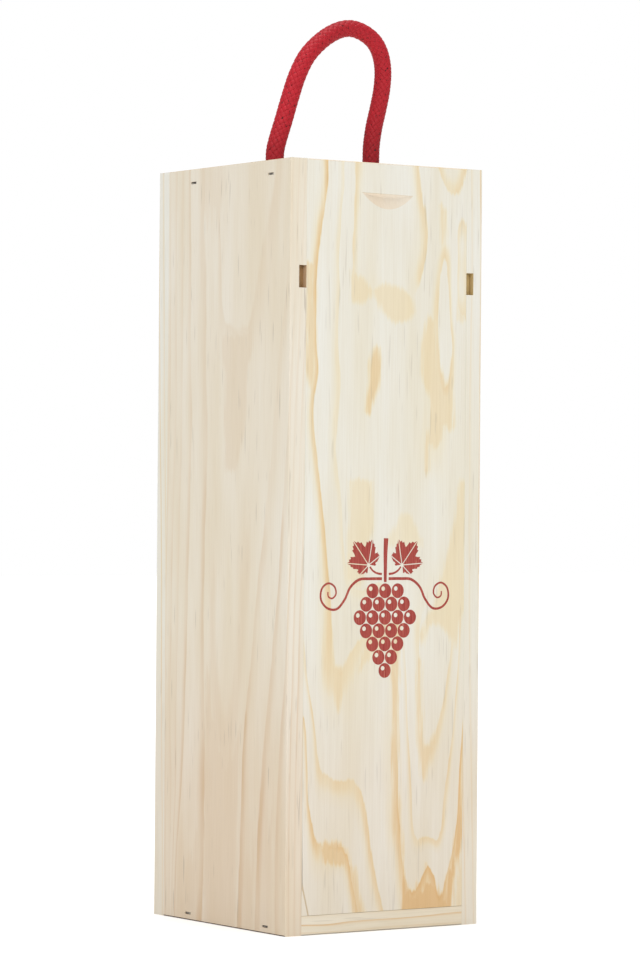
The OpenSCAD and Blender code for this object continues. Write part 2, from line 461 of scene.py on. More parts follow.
@dataclass(frozen=True)
class Pine:
    """Knot-free pine, planed and left bare: cream earlywood and tan latewood bands with one soft
    and one sharp edge, fine fibre streaks, a few grey-brown resin ducts, and hardly any gloss."""

    name: str
    grain: Grain = Grain.UPRIGHT
    # Where the middle of the trunk lies from the box's axis, and how the trunk leans
    pith: tuple[float, float] = (20.0, 60.0)
    lean: tuple[float, float] = (0.0, 0.0)
    ring_width: float = 5.0
    wander: float = 4.0
    # Whether the board's mesh holds its ring counts, or they follow from the pith alone
    figured: bool = False
    # The share of a ring's width at which its latewood starts, and how it darkens from there
    late_start: float = 0.55
    rise: tuple[tuple[float, float], ...] = ((0, 0), (0.42, 0.22), (0.69, 0.8), (0.91, 1), (1, 0))
    early_light: str = "#DDDBD2"
    early_dark: str = "#D9D3C2"
    late_light: str = "#D9C69E"
    late_dark: str = "#D0AA76"
    # The lower part is a little warmer, from where it starts to where it is full
    foot_tint: str = "#FBF5F1"
    tint_from: float = 150.0
    tint_full: float = 70.0
    # The resin ducts' colour, and how strongly they show
    fleck: str = "#9A8C7C"
    ducts: float = 0.2
    # The widths and lengths of what makes it uneven
    fibres: tuple[float, float] = (0.55, 26.0)
    ring_edges: tuple[float, float] = (1.3, 14.0)
    pool_edges: tuple[float, float] = (1.6, 18.0)
    drifts: tuple[float, float] = (55.0, 240.0)
    patches: tuple[float, float] = (9.0, 60.0)
    clouds: tuple[float, float] = (16.0, 120.0)
    duct_size: tuple[float, float] = (1.0, 17.0)
    duct_groups: tuple[float, float] = (14.0, 40.0)

    def build(self) -> Material:
        """Make the material.

        Returns:
            The pine, in Object coordinates turned so that the fibres run along Z.
        """
        material, tree, shader = new_material(self.name)
        turn = (0.0, math.pi / 2 if self.grain is Grain.CROSSWISE else 0.0, 0.0)
        coords = add_node(tree, "TexCoord", output="Object")
        space = {"Vector": coords, "Scale": (PER_METRE,) * 3, "Rotation": turn}
        wood = add_node(tree, "Mapping", space)
        band = self._band(tree, wood, self._rings(tree, wood))
        fibre = fibre_noise(tree, wood, self.fibres, 3.0)
        # Latewood planes smoother than earlywood
        gloss = add_node(tree, "MapRange", {"Value": band, "To Min": 0.66, "To Max": 0.5})
        # Fibres stand up 0.03 mm, and the latewood bands a little
        height = add_node(tree, "Math", {0: band, 1: 0.45, 2: fibre}, operation="MULTIPLY_ADD")
        bump = add_node(tree, "Bump", {"Height": height, "Strength": 0.12, "Distance": 0.03 * MM})
        colour = self._colour(tree, wood, band, fibre)
        feed(shader, {"Base Color": colour, "Roughness": gloss, "Normal": bump})
        feed(shader, {"Specular IOR Level": 0.35})
        return material

    def _rings(self, tree: NodeTree, wood: NodeSocket) -> NodeSocket:
        """Count the growth rings from the middle of the trunk to a place.

        Args:
            tree: the material's node tree.
            wood: the place in the trunk.

        Returns:
            The socket of the count, whose whole numbers are the sharp ends of the latewood.
        """
        ragged = fibre_noise(tree, wood, self.ring_edges, 2.0)
        if self.figured:
            count = add_node(tree, "Attribute", output="Fac", attribute_name=RINGS)
            return add_node(tree, "Math", {0: ragged, 1: RAGGED, 2: count}, operation="MULTIPLY_ADD")
        drift = fibre_noise(tree, wood, self.drifts, output="Color")
        wander = {0: drift, 1: (2 * self.wander,) * 3, 2: wood}
        moved = add_node(tree, "VectorMath", wander, operation="MULTIPLY_ADD")
        lean = (math.radians(self.lean[0]), math.radians(self.lean[1]), 0.0)
        trunk = {"Vector": moved, "Location": (-self.pith[0], -self.pith[1], 0.0), "Rotation": lean}
        across = {0: add_node(tree, "Mapping", trunk), 1: (1.0, 1.0, 0.0)}
        flat = add_node(tree, "VectorMath", across, operation="MULTIPLY")
        reach = add_node(tree, "VectorMath", {0: flat}, "Value", operation="LENGTH")
        even = add_node(tree, "Math", {0: reach, 1: self.ring_width}, operation="DIVIDE")
        # Good and lean years: the rings come wider and narrower
        luck = {"W": even, "Scale": 0.45, "Detail": 1.0}
        years = add_node(tree, "TexNoise", luck, noise_dimensions="1D")
        count = add_node(tree, "Math", {0: years, 1: 1.6, 2: even}, operation="MULTIPLY_ADD")
        edges = {0: ragged, 1: PLAIN_RAGGED, 2: count}
        return add_node(tree, "Math", edges, operation="MULTIPLY_ADD")

    def _band(self, tree: NodeTree, wood: NodeSocket, rings: NodeSocket) -> NodeSocket:
        """Say how much latewood a place has, from 0 to 1.

        Args:
            tree: the material's node tree.
            wood: the place in the trunk.
            rings: the ring count.

        Returns:
            The socket of the share.
        """
        part = add_node(tree, "Math", {0: rings}, operation="FRACT")
        late = 1.0 - self.late_start
        stops = [(0.0, 0.0)] + [(self.late_start + late * share, value) for share, value in self.rise]
        profile = add_node(tree, "ValToRGB", {"Fac": part}, stops=stops)
        if self.figured:
            depth = add_node(tree, "Attribute", output="Fac", attribute_name=DEPTH)
        else:
            year = add_node(tree, "Math", {0: rings}, operation="FLOOR")
            luck = add_node(tree, "TexWhiteNoise", {"W": year}, "Value", noise_dimensions="1D")
            depth = add_node(tree, "MapRange", {"Value": luck, "To Min": 0.35, "To Max": 0.9})
        patch = fibre_noise(tree, wood, self.patches)
        faded = {"Value": patch, "From Min": 0.3, "From Max": 0.6, "To Min": 0.6, "To Max": 1.0}
        fade = add_node(tree, "MapRange", faded)
        strong = add_node(tree, "Math", {0: depth, 1: fade}, operation="MULTIPLY")
        band = add_node(tree, "Math", {0: strong, 1: profile}, operation="MULTIPLY")
        if not self.figured:
            return band
        # A pool's edge is ragged along the fibres
        pools = add_node(tree, "Attribute", output="Fac", attribute_name=POOLS)
        fringe = fibre_noise(tree, wood, self.pool_edges, 2.0)
        torn = {"Value": fringe, "From Min": 0.25, "From Max": 0.75, "To Min": -0.24, "To Max": 0.24}
        ragged = add_node(tree, "MapRange", torn)
        shifted = add_node(tree, "Math", {0: pools, 1: ragged}, operation="ADD")
        edge = {"Value": shifted, "From Min": 0.22, "From Max": 0.8}
        within = add_node(tree, "MapRange", edge, interpolation_type="SMOOTHSTEP")
        pool_depth = add_node(tree, "Attribute", output="Fac", attribute_name=POOL_DEPTH)
        pool = add_node(tree, "Math", {0: pool_depth, 1: within}, operation="MULTIPLY")
        return add_node(tree, "Math", {0: band, 1: pool}, operation="MAXIMUM")

    def _colour(
        self, tree: NodeTree, wood: NodeSocket, band: NodeSocket, fibre: NodeSocket
    ) -> NodeSocket:
        """Mix earlywood, latewood, fibres and flecks.

        Args:
            tree: the material's node tree.
            wood: the place in the trunk.
            band: the share of latewood.
            fibre: the streaks of the fibres.

        Returns:
            The socket of the colour.
        """
        mix = {"kind": "Mix", "output": 2, "data_type": "RGBA"}
        cloud = fibre_noise(tree, wood, self.clouds, 2.0)
        stops = [(0.32, self.early_dark), (0.68, self.early_light)]
        early = add_node(tree, "ValToRGB", {"Fac": cloud}, stops=stops)
        stops = [(0.2, self.late_light), (1.0, self.late_dark)]
        late = add_node(tree, "ValToRGB", {"Fac": band}, stops=stops)
        colour = add_node(tree, inputs={0: band, 6: early, 7: late}, **mix)
        stops = [(0.25, "#FAF8F5"), (0.62, "#FFFFFF")]
        streak = add_node(tree, "ValToRGB", {"Fac": fibre}, stops=stops)
        streaked = {0: 1.0, 6: colour, 7: streak}
        colour = add_node(tree, inputs=streaked, blend_type="MULTIPLY", **mix)
        duct = fibre_noise(tree, wood, self.duct_size, 0.0)
        few = fibre_noise(tree, wood, self.duct_groups)
        both = add_node(tree, "Math", {0: few, 1: 0.35, 2: duct}, operation="MULTIPLY_ADD")
        shown = {"Value": both, "From Min": 0.93, "From Max": 1.02, "To Max": self.ducts}
        fleck = add_node(tree, "MapRange", shown)
        colour = add_node(tree, inputs={0: fleck, 6: colour, 7: to_linear(self.fleck)}, **mix)
        coords = add_node(tree, "TexCoord", output="Object")
        height = add_node(tree, "SeparateXYZ", {"Vector": coords}, "Z")
        foot = {"Value": height, "From Min": self.tint_from * MM, "From Max": self.tint_full * MM}
        warmed = {0: add_node(tree, "MapRange", foot), 6: colour, 7: to_linear(self.foot_tint)}
        return add_node(tree, inputs=warmed, blend_type="MULTIPLY", **mix)


@dataclass(frozen=True)
class GrainLine:
    """A line on a board's face along which the ring count is the same.

    Whole counts are the sharp ends of the latewood, and the others shape the wood between them.
    """

    ring: float
    points: tuple[tuple[float, float], ...]
    # How dark the latewood is there, from 0 to 1
    depth: float = 0.6


@dataclass(frozen=True)
class Pool:
    """A pool of latewood, where a ring lies nearly flat in the board's face."""

    depth: float
    outline: tuple[tuple[float, float], ...]

    def inside(self, across: np.ndarray, along: np.ndarray) -> np.ndarray:
        """Say how far inside the outline many places lie.

        Args:
            across: the places across the fibres.
            along: the places along the fibres.

        Returns:
            The distance to the outline at each place, less than nothing outside it.
        """
        nearest = np.full(across.shape, np.inf)
        within = np.zeros(across.shape, bool)
        for (x0, z0), (x1, z1) in zip(self.outline, self.outline[1:] + self.outline[:1], strict=True):
            side = np.array([x1 - x0, z1 - z0])
            share = ((across - x0) * side[0] + (along - z0) * side[1]) / (side @ side)
            share = np.clip(share, 0.0, 1.0)
            gap = np.hypot(across - x0 - share * side[0], along - z0 - share * side[1])
            nearest = np.minimum(nearest, gap)
            if z0 != z1:
                crossing = x0 + (along - z0) * side[0] / side[1]
                within ^= ((z0 > along) != (z1 > along)) & (across < crossing)
        return np.where(within, nearest, -nearest)


def distances(a: np.ndarray, b: np.ndarray) -> np.ndarray:
    """Give the distance from each of some places to each of some others."""
    return np.linalg.norm(a[:, None, :] - b[None, :, :], axis=2)


@dataclass(frozen=True)
class Figure:
    """The figure of a flat-sawn board: ring counts spread smoothly between a few grain lines."""

    lines: tuple[GrainLine, ...]
    pools: tuple[Pool, ...] = ()
    # Grain changes this many times slower along the fibres than across them
    stretch: float = 3.0
    # Rings gained for each millimetre under the face
    depth_rate: float = -0.16
    stiffness: float = 0.005
    # The unit in which distances are counted here
    unit: float = 10.0
    # How fast a point counts less with its distance, and how near it may count as
    fading: int = 4
    nearest: float = 0.05

    def _places(self, across: np.ndarray, along: np.ndarray) -> np.ndarray:
        """Bring places to a scale on which the grain changes as fast in both directions."""
        return np.stack([across, along / self.stretch], axis=1) / self.unit

    def _knots(self) -> tuple[np.ndarray, np.ndarray, np.ndarray]:
        """Gather all the lines' points.

        Returns:
            Their places, their ring counts and their depths.
        """
        rows = [(*point, line.ring, line.depth) for line in self.lines for point in line.points]
        across, along, rings, depths = np.array(rows, float).T
        return self._places(across, along), rings, depths

    def rings_at(self, across: np.ndarray, along: np.ndarray, under: np.ndarray) -> np.ndarray:
        """Work out the ring count at many places of the board, as a thin plate would bend.

        Args:
            across: the places across the fibres.
            along: the places along the fibres.
            under: how far under the face they lie.

        Returns:
            The ring count at each place.
        """
        knots, rings, _ = self._knots()
        places = self._places(across, along)

        def bending(a: np.ndarray, b: np.ndarray) -> np.ndarray:
            """Give the bending at places a for a load at places b."""
            gap = distances(a, b)
            return gap * gap * np.log(np.maximum(gap, TINY))

        count = len(knots)
        plane = np.hstack([np.ones((count, 1)), knots])
        bend = bending(knots, knots) + self.stiffness * np.eye(count)
        system = np.block([[bend, plane], [plane.T, np.zeros((3, 3))]])
        weights = np.linalg.solve(system, np.concatenate([rings, np.zeros(3)]))
        level = np.hstack([np.ones((len(places), 1)), places]) @ weights[count:]
        return bending(places, knots) @ weights[:count] + level + self.depth_rate * under

    def depths_at(self, across: np.ndarray, along: np.ndarray) -> np.ndarray:
        """Work out how dark the latewood is at many places: the nearest points count most.

        Args:
            across: the places across the fibres.
            along: the places along the fibres.

        Returns:
            The darkness at each place, from 0 to 1.
        """
        knots, _, depths = self._knots()
        gap = distances(self._places(across, along), knots)
        share = 1.0 / (gap + self.nearest) ** self.fading
        return share @ depths / share.sum(axis=1)

    def pools_at(self, across: np.ndarray, along: np.ndarray) -> tuple[np.ndarray, np.ndarray]:
        """Work out in which pool many places lie, and how deep in it.

        Args:
            across: the places across the fibres.
            along: the places along the fibres.

        Returns:
            The share at each place, 1 well inside a pool, a half at its outline and 0 some
            way outside it; and how dark that pool is.
        """
        shares, depths = np.zeros(across.shape), np.zeros(across.shape)
        for pool in self.pools:
            share = np.clip(0.5 + pool.inside(across, along) / (2 * POOL_EDGE), 0.0, 1.0)
            depths = np.where(share > shares, pool.depth, depths)
            shares = np.maximum(shares, share)
        return shares, depths


LID_FIGURE = Figure(
    lines=(
        # The two waves at the lower left
        GrainLine(7.4, ((-45, 20), (-38, 15), (-25, 20), (-22, 8)), 0.5),
        GrainLine(7.85, ((-28, 36), (-19, 22), (-16, 8)), 0.8),
        GrainLine(8.0, ((-45, 100), (-43, 75), (-41, 55), (-38, 45), (-31, 42), (-26, 42), (-19, 33),
            (-12, 8)), 0.9),
        GrainLine(8.5, ((-40, 68), (-25, 56), (-12, 30), (-7, 8)), 0.7),
        GrainLine(9.0, ((-46, 145), (-43, 115), (-38, 85), (-33, 75), (-18, 72)), 0.5),
        GrainLine(9.0, ((-11, 62), (-6, 35), (1, 8)), 0.7),
        GrainLine(9.5, ((-38, 110), (-25, 90), (-8, 80), (0, 40), (5, 8))),
        # The long line at the left, its two soft tips, and the broad arch at the lower right
        GrainLine(10.0, ((-34, 360), (-34, 348), (-37, 330), (-39, 315), (-40, 300)), 0.95),
        GrainLine(10.0, ((-40, 285), (-40, 275), (-38.5, 262), (-41, 248), (-41, 235), (-39, 222),
            (-37, 208), (-34.5, 190), (-32.5, 172), (-30.5, 155), (-29, 138), (-27, 124)), 0.85),
        GrainLine(10.0, ((-22, 128), (-14, 138), (0, 142), (6, 125)), 0.45),
        GrainLine(10.0, ((7.5, 100), (8.5, 75), (10, 50), (12, 30), (16, 19), (21, 22), (26, 30),
            (30, 24), (33, 16), (37, 26), (40, 36), (42.5, 50), (44, 75), (46, 110), (47, 140)), 1.0),
        GrainLine(9.7, ((-39, 345), (-44, 280), (-43, 262), (-27, 108), (-8, 124), (2, 90)), 0.7),
        GrainLine(9.8, ((15, 10), (26, 12), (37, 10), (45, 60), (5, 50)), 1.0),
        # The thin line inside it
        GrainLine(11.0, ((-25, 360), (-25, 345), (-26.5, 330), (-27, 305), (-27.5, 285), (-26, 250),
            (-28.5, 225), (-25, 200), (-22, 170), (-14, 160), (2, 160), (11, 135)), 0.35),
        GrainLine(11.0, ((13.5, 100), (17, 50), (20, 42), (26, 43), (31, 41), (35, 62), (40, 95),
            (43, 130), (45, 165)), 0.5),
        GrainLine(11.4, ((-23, 340), (-23, 310), (-22, 285), (-10, 230), (5, 225), (5, 190), (24, 62)),
            0.3),
        # The arch round the thumb notch, whose foot is only a stain
        GrainLine(11.0, ((-19.5, 360), (-19.5, 340), (-20.5, 320), (-21, 304)), 0.6),
        GrainLine(11.0, ((-19, 296), (-15, 294), (-10, 298), (-7, 296), (-2, 290), (4, 287), (11, 289),
            (16, 297)), 0.1),
        GrainLine(11.0, ((20, 308), (23, 320), (23, 332), (20, 345), (18, 360)), 0.6),
        GrainLine(10.8, ((-14, 304), (0, 300), (10, 298)), 0.1),
        GrainLine(10.5, ((0, 355), (0, 330), (-10, 325), (10, 320), (12, 345), (-10, 345)), 0.3),
        GrainLine(11.2, ((-10, 285), (5, 278), (20, 295), (25, 345)), 0.3),
        # The slim leaf at the upper right, with the stain that runs down from it
        GrainLine(11.85, ((26, 275), (24, 262), (28, 250), (34, 243), (24, 222)), 0.3),
        GrainLine(11.8, ((29, 312), (37, 312)), 0.5),
        GrainLine(12.0, ((33, 315), (31, 308), (30, 295), (31, 275), (33, 263), (35, 258), (36.5, 265),
            (37.5, 280), (36, 297), (34.5, 308)), 0.7),
        GrainLine(12.15, ((33.5, 275), (33.5, 290)), 0.3),
        GrainLine(11.5, ((42, 270), (41, 250), (18, 260), (28, 322), (36, 330), (27, 345)), 0.3),
        GrainLine(11.0, ((28, 362), (31, 354), (35, 348.5), (39, 347), (43, 350), (46, 358)), 0.6),
        GrainLine(10.75, ((34, 358), (39, 355)), 0.5),
        GrainLine(11.2, ((35, 340), (25, 352)), 0.3),
        GrainLine(10.75, ((43, 325), (43, 305)), 0.3),
        GrainLine(11.0, ((40.5, 330), (40.5, 310), (41, 294), (44, 289), (46, 310), (46, 332),
            (43, 338)), 0.5),
        # The narrow tip inside the arch
        GrainLine(12.0, ((20, 138), (21, 115), (22, 95), (24, 85), (27, 87), (31, 96), (35, 112),
            (38, 128), (39, 138)), 0.6),
        GrainLine(12.0, ((22, 148), (30, 156), (38, 148)), 0.1),
        GrainLine(11.6, ((40, 175), (42, 200), (41, 225), (28, 200), (20, 195), (20, 172)), 0.1),
        GrainLine(12.25, ((28, 115), (29, 130)), 0.2),
        GrainLine(11.8, ((-14, 204), (-13, 192)), 0.2),
    ),
    pools=(
        # The wide part of the long line at the left, and the arch's foot
        Pool(0.6, ((-46, 312), (-41, 312), (-41, 285), (-40, 262), (-43, 250), (-46, 262))),
        Pool(0.42, ((-21, 309), (-21, 295), (-15, 293), (-9, 297), (-7, 298), (-3, 290), (4, 285),
            (12, 286), (16, 290), (14, 298), (5, 303), (-2, 304), (-8, 300), (-14, 306))),
        # The short lens, and the pool with its two feet at the right
        Pool(0.7, ((-12.5, 243), (-11, 256), (-10, 266), (-7.5, 275), (-4.5, 273), (-3, 265),
            (-3.5, 257), (-6.5, 250), (-9, 242))),
        Pool(0.5, ((24, 290), (28.5, 288), (29, 275), (30.5, 267), (34, 257), (36.5, 262), (38, 270),
            (39, 260), (39.5, 237), (37, 234), (33, 238), (33, 229), (28, 225), (26, 228), (25.5, 214),
            (22, 214), (22, 228), (24.5, 237), (25, 248), (20.5, 260), (20, 276))),
        Pool(0.45, ((30, 343), (31, 322), (34, 322), (34, 340))),
        Pool(0.35, ((41, 299), (41, 288), (45, 286), (46, 296))),
        # The faint clouds over and under the print
        Pool(0.36, ((-21, 212), (-21, 192), (-23, 165), (-14, 160), (-7, 190), (-7, 211))),
        Pool(0.3, ((0, 181), (5, 189), (9, 196), (14, 195), (18, 189), (22, 181), (11, 178))),
        Pool(0.42, ((43, 212), (47, 212), (47, 150), (43, 143), (41, 131), (36, 139), (30, 144),
            (25, 142), (22, 133), (20, 138), (24, 147), (29, 153), (32, 166), (37, 180), (40, 192))),
        Pool(0.45, ((-16, 119), (-12, 134), (-4, 143), (3, 146), (3, 133), (-6, 130))),
        Pool(0.5, ((-32, 125), (-29, 110), (-26, 103), (-23, 112), (-23, 124))),
        # The foot of the two waves, and the broad foot of the arch at the lower right
        Pool(0.7, ((-37, 42), (-34, 33), (-24, 30.5), (-19, 33), (-21, 40), (-27, 43))),
        Pool(0.6, ((-19, 31), (-19, 18), (-16, 6), (-10, 6), (-14, 20), (-16, 31))),
        Pool(0.65, ((3.5, 146), (4, 112), (4, 80), (6, 50), (9, 34), (12, 34), (10.5, 50), (8.5, 72),
            (8.2, 112), (8.5, 146))),
        Pool(0.55, ((18.5, 128), (21, 128), (22, 95), (23.5, 86), (26, 87), (30, 94), (31, 88),
            (27, 79), (24, 68), (21.5, 72), (19, 92))),
        Pool(0.9, ((10.5, 6), (10, 36), (13, 25), (15, 18), (18, 16), (20, 21), (22.5, 17), (25, 30),
            (27, 21), (29, 22), (31, 20), (33, 14), (35.5, 13), (37, 23), (39.5, 28), (41, 35),
            (43, 46), (44, 60), (47, 90), (47, 44), (44, 30), (41.5, 20), (40, 6))),
        Pool(0.4, ((42, 6), (43, 20), (45, 29), (48, 42), (48, 6))),
    ),
)


SIDE_FIGURE = Figure(
    lines=(
        GrainLine(7.0, ((-52, 360), (-52, 240), (-53, 120), (-52, 0)), 0.35),
        GrainLine(8.0, ((-47, 360), (-46, 300), (-47, 200)), 0.35),
        GrainLine(8.0, ((-48, 170), (-48, 130), (-48, 100), (-47.5, 60), (-47, 30), (-46, 0)), 0.6),
        GrainLine(9.0, ((-41, 360), (-41, 300), (-40, 250), (-42, 200), (-43, 150), (-44, 100)), 0.3),
        GrainLine(9.0, ((-42, 60), (-43, 30), (-43, 0)), 0.3),
        GrainLine(10.0, ((-35, 360), (-35, 300), (-35, 250), (-36, 200), (-37, 150), (-38, 110)), 0.3),
        # The strongest pair left of the middle
        GrainLine(11.0, ((-29, 360), (-28, 320), (-28, 280), (-26, 245), (-27, 205)), 0.5),
        GrainLine(11.0, ((-28, 170), (-29, 140), (-30, 110), (-32, 75), (-34, 55), (-37, 30),
            (-38, 0)), 0.75),
        GrainLine(12.0, ((-16, 360), (-16, 330), (-14, 300), (-13, 260), (-12, 225)), 0.5),
        GrainLine(12.0, ((-13, 195), (-14, 165), (-14, 130), (-13, 100)), 0.65),
        GrainLine(12.0, ((-12, 80), (-12, 55), (-12, 35), (-14, 0)), 0.85),
        GrainLine(11.5, ((-22, 300), (-21, 200), (-22, 100), (-24, 20)), 0.42),
        GrainLine(12.35, ((-7, 330), (-7, 200)), 0.3),
        # The arch in the upper middle, and the tongue under it
        GrainLine(13.0, ((-5, 360), (-3, 335), (-1, 310), (0, 294), (4, 285), (14, 282), (22, 284),
            (26, 295), (31, 312), (36, 329), (41, 344), (45, 358)), 0.35),
        GrainLine(12.5, ((5, 268), (18, 266), (8, 240), (8, 222), (13, 245)), 0.2),
        GrainLine(12.4, ((8, 205), (8, 180), (20, 220), (25, 255)), 0.3),
        GrainLine(13.3, ((12, 320), (16, 350)), 0.28),
        # The fine slanting streaks over the tip at the foot
        GrainLine(12.88, ((-7, 165), (-7, 150), (-6, 132), (-4, 118), (0, 104), (5, 90), (9, 95),
            (12, 106), (15, 118), (18, 134), (21, 150), (24, 166)), 0.36),
        GrainLine(12.4, ((0, 160), (-1, 138), (4, 112), (9, 122), (12, 150)), 0.2),
        GrainLine(12.4, ((0, 60), (3, 10)), 0.3),
        # The lines right of the middle, which lean towards the front as they rise
        GrainLine(12.0, ((57, 330), (54, 300), (50, 280), (47, 262), (43, 228), (38, 198)), 0.22),
        GrainLine(12.0, ((36, 185), (32, 165), (29, 145), (26.5, 125), (23.5, 110)), 0.5),
        GrainLine(12.0, ((21.5, 98), (20, 80), (19, 60), (18, 35), (16, 0)), 0.85),
        GrainLine(11.0, ((57, 245), (53, 205)), 0.3),
        GrainLine(11.0, ((51, 185), (49.5, 165), (46.5, 145), (44, 127), (41.5, 110)), 0.6),
        GrainLine(11.0, ((39, 97), (37, 85), (35.5, 70), (33.5, 50), (32.5, 30), (31.5, 5)), 0.85),
        GrainLine(10.0, ((57, 150), (55, 120), (52, 95), (50, 70), (48.5, 45), (48.5, 0)), 0.6),
        GrainLine(9.4, ((57, 60), (57, 10)), 0.4),
    ),
    pools=(
        Pool(0.25, ((-17, 364), (-17, 345), (-14, 330), (-12, 345), (-9, 318), (-7, 340), (-4, 322),
            (-1, 345), (0, 364))),
        # The foot of the arch, and the tongue that hangs from it
        Pool(0.34, ((-1, 281), (10, 279), (22, 281), (27, 286), (27, 272), (22, 264), (22, 248),
            (20, 233), (16, 224), (13, 215), (4, 215), (3, 232), (2, 262), (0, 269))),
        # The wood is darker between the lines near the foot of the board
        Pool(0.34, ((-12, 124), (-12, -4), (14, -4), (16, 40), (17, 80), (19, 96), (15, 92), (12, 80),
            (9, 88), (6, 74), (3, 86), (0, 82), (-3, 104), (-6, 98), (-8, 118))),
        Pool(0.28, ((-37, 44), (-37, -4), (-16, -4), (-16, 56), (-18, 44), (-20, 50), (-23, 28),
            (-26, 36), (-30, 24), (-33, 50), (-35, 36))),
        Pool(0.28, ((19, 54), (18, -4), (30, -4), (31, 44), (28, 26), (25, 42), (22, 26))),
        Pool(0.26, ((35, 66), (34, -4), (46, -4), (46, 60), (43, 44), (40, 70), (37, 46))),
    ),
    stretch=4.0,
    depth_rate=-0.3,
)


FOOT_FIGURE = Figure(
    lines=(
        GrainLine(11.0, ((9.4, -46), (9.8, -20), (9.2, 10), (9.7, 46)), 0.4),
        GrainLine(10.0, ((5.2, -46), (4.6, -38), (4.3, -32), (5.3, -24), (5.6, -10), (5.3, 8),
            (5.9, 28), (6.4, 46)), 1.0),
        GrainLine(9.0, ((1.6, -46), (1.2, -20), (1.8, 10), (1.4, 46)), 0.4),
        GrainLine(9.4, ((3.0, -40), (3.2, 0), (3.2, 40)), 0.3),
    ),
    pools=(),
    stretch=8.0,
)


# ---- Boards -------------------------------------------------------------------------------


class Face(Enum):
    """The face that a figure is worked out on, as the axes across its fibres, along them and
    into the wood."""

    FRONT = (0, 2, 1)
    LEFT = (1, 2, 0)
    FOOT = (2, 0, 1)


TONE_NAMES = ("early_light", "early_dark", "late_light", "late_dark")


def four_tones(tones: str) -> dict[str, str]:
    """Name a pine's two or four tones: early light and dark, then late light and dark."""
    return dict(zip(TONE_NAMES, tones.split(), strict=False))


# Wood cut across its fibres is darker, and it picks up dirt; the same tones are painted as
# shade on the faces that look down
END_GRAIN_AND_UNDER_SHADE = four_tones("#C9BBA2 #BDAC8E #AC8F64 #96754A")
# The thumb notch: the warmer tone of freshly cut wood, darkened a little as painted shade of the
# hollow
FRESH_CUT_AND_SHADE = four_tones("#DAD0C0 #D9C7AE")
# Painted shadow along the box's lowest edges, where it meets the floor: dark grey-brown,
# and paler along the bottom end's edge
FOOT_SHADOW = four_tones("#62503F #584636 #4E3E30 #463628")
PALE_FOOT_SHADOW = four_tones("#ACA698 #A09888 #968A78 #8C806E")
# Painted shade for the wood in the narrow slots: brown in the left one, where the tongue lies
# in shade, and golden in the right one, where light reaches in
LEFT_SLOT_SHADE = four_tones("#A2825A #947246 #886338 #75522A")
RIGHT_SLOT_SHADE = four_tones("#CCB684 #C0A772 #B19460 #9F8250")
# Painted shade of the lid's left side, which shows through the left slot: lighter and a
# little rosy, as light falls on it there
LID_SIDE_SHADE = four_tones("#E2C6A2 #D6B48C #C29C72 #B08A60")


class Finish(IntEnum):
    """The numbers of a board's finishes. Only some boards have those after the painted foot shadow."""

    PINE = 0
    END_GRAIN_AND_UNDER_SHADE = 1
    FOOT_SHADOW = 2
    LEFT_SLOT_SHADE = 3
    RIGHT_SLOT_SHADE = 4
    NOTCH = 5
    LID_SIDE_SHADE = 6


@dataclass(frozen=True)
class Zone:
    """Two blocks of space, one on each side of the box: how far out, back and up they reach."""

    out: tuple[float, float]
    back: tuple[float, float]
    up: tuple[float, float]

    def holds(self, place: Vector) -> bool:
        """Say whether a place lies in the zone.

        Args:
            place: the place in the box's frame.

        Returns:
            True where it does.
        """
        spans = (self.out, self.back, self.up)
        reach = (abs(place.x), place.y, place.z)
        return all(low < value < high for (low, high), value in zip(spans, reach, strict=True))


# The neck rest's grooves lay the lid's sides bare between these heights
SLOT_LOW = 299.9
SLOT_HIGH = 310.5
# How far a zone reaches past them
SLOT_ROOM = 0.1
# A side panel's grooves, in from its inner face and from its ends; and the lid's bare sides
PANEL_SLOTS = Zone((46.1, 54.5), (-57.3, 48.4), (0.2, 359.8))
LID_SIDES = Zone((45.6, 60.0), (-57.4, 60.0), (SLOT_LOW - SLOT_ROOM, SLOT_HIGH + SLOT_ROOM))


class Shell:
    """The box's outer planes, by which its outer edges are told from those at the joints."""

    def __init__(self) -> None:
        """Take the planes from the two side panels and the back panel."""
        boxes = [box_mm(node) for node in ("side_panel_left", "side_panel_right", "back_panel")]
        self.low = [min(low[i] for low, _ in boxes) for i in range(3)]
        self.high = [max(high[i] for _, high in boxes) for i in range(3)]

    def has(self, edge: bmesh.types.BMEdge) -> bool:
        """Say whether an edge lies on two of the outer planes.

        Args:
            edge: an edge of a board.

        Returns:
            True where it does.
        """
        shared = 0
        for plane in (self.low, self.high):
            for i in range(3):
                shared += all(abs(v.co[i] - plane[i]) < TOUCHING for v in edge.verts)
        return shared > 1


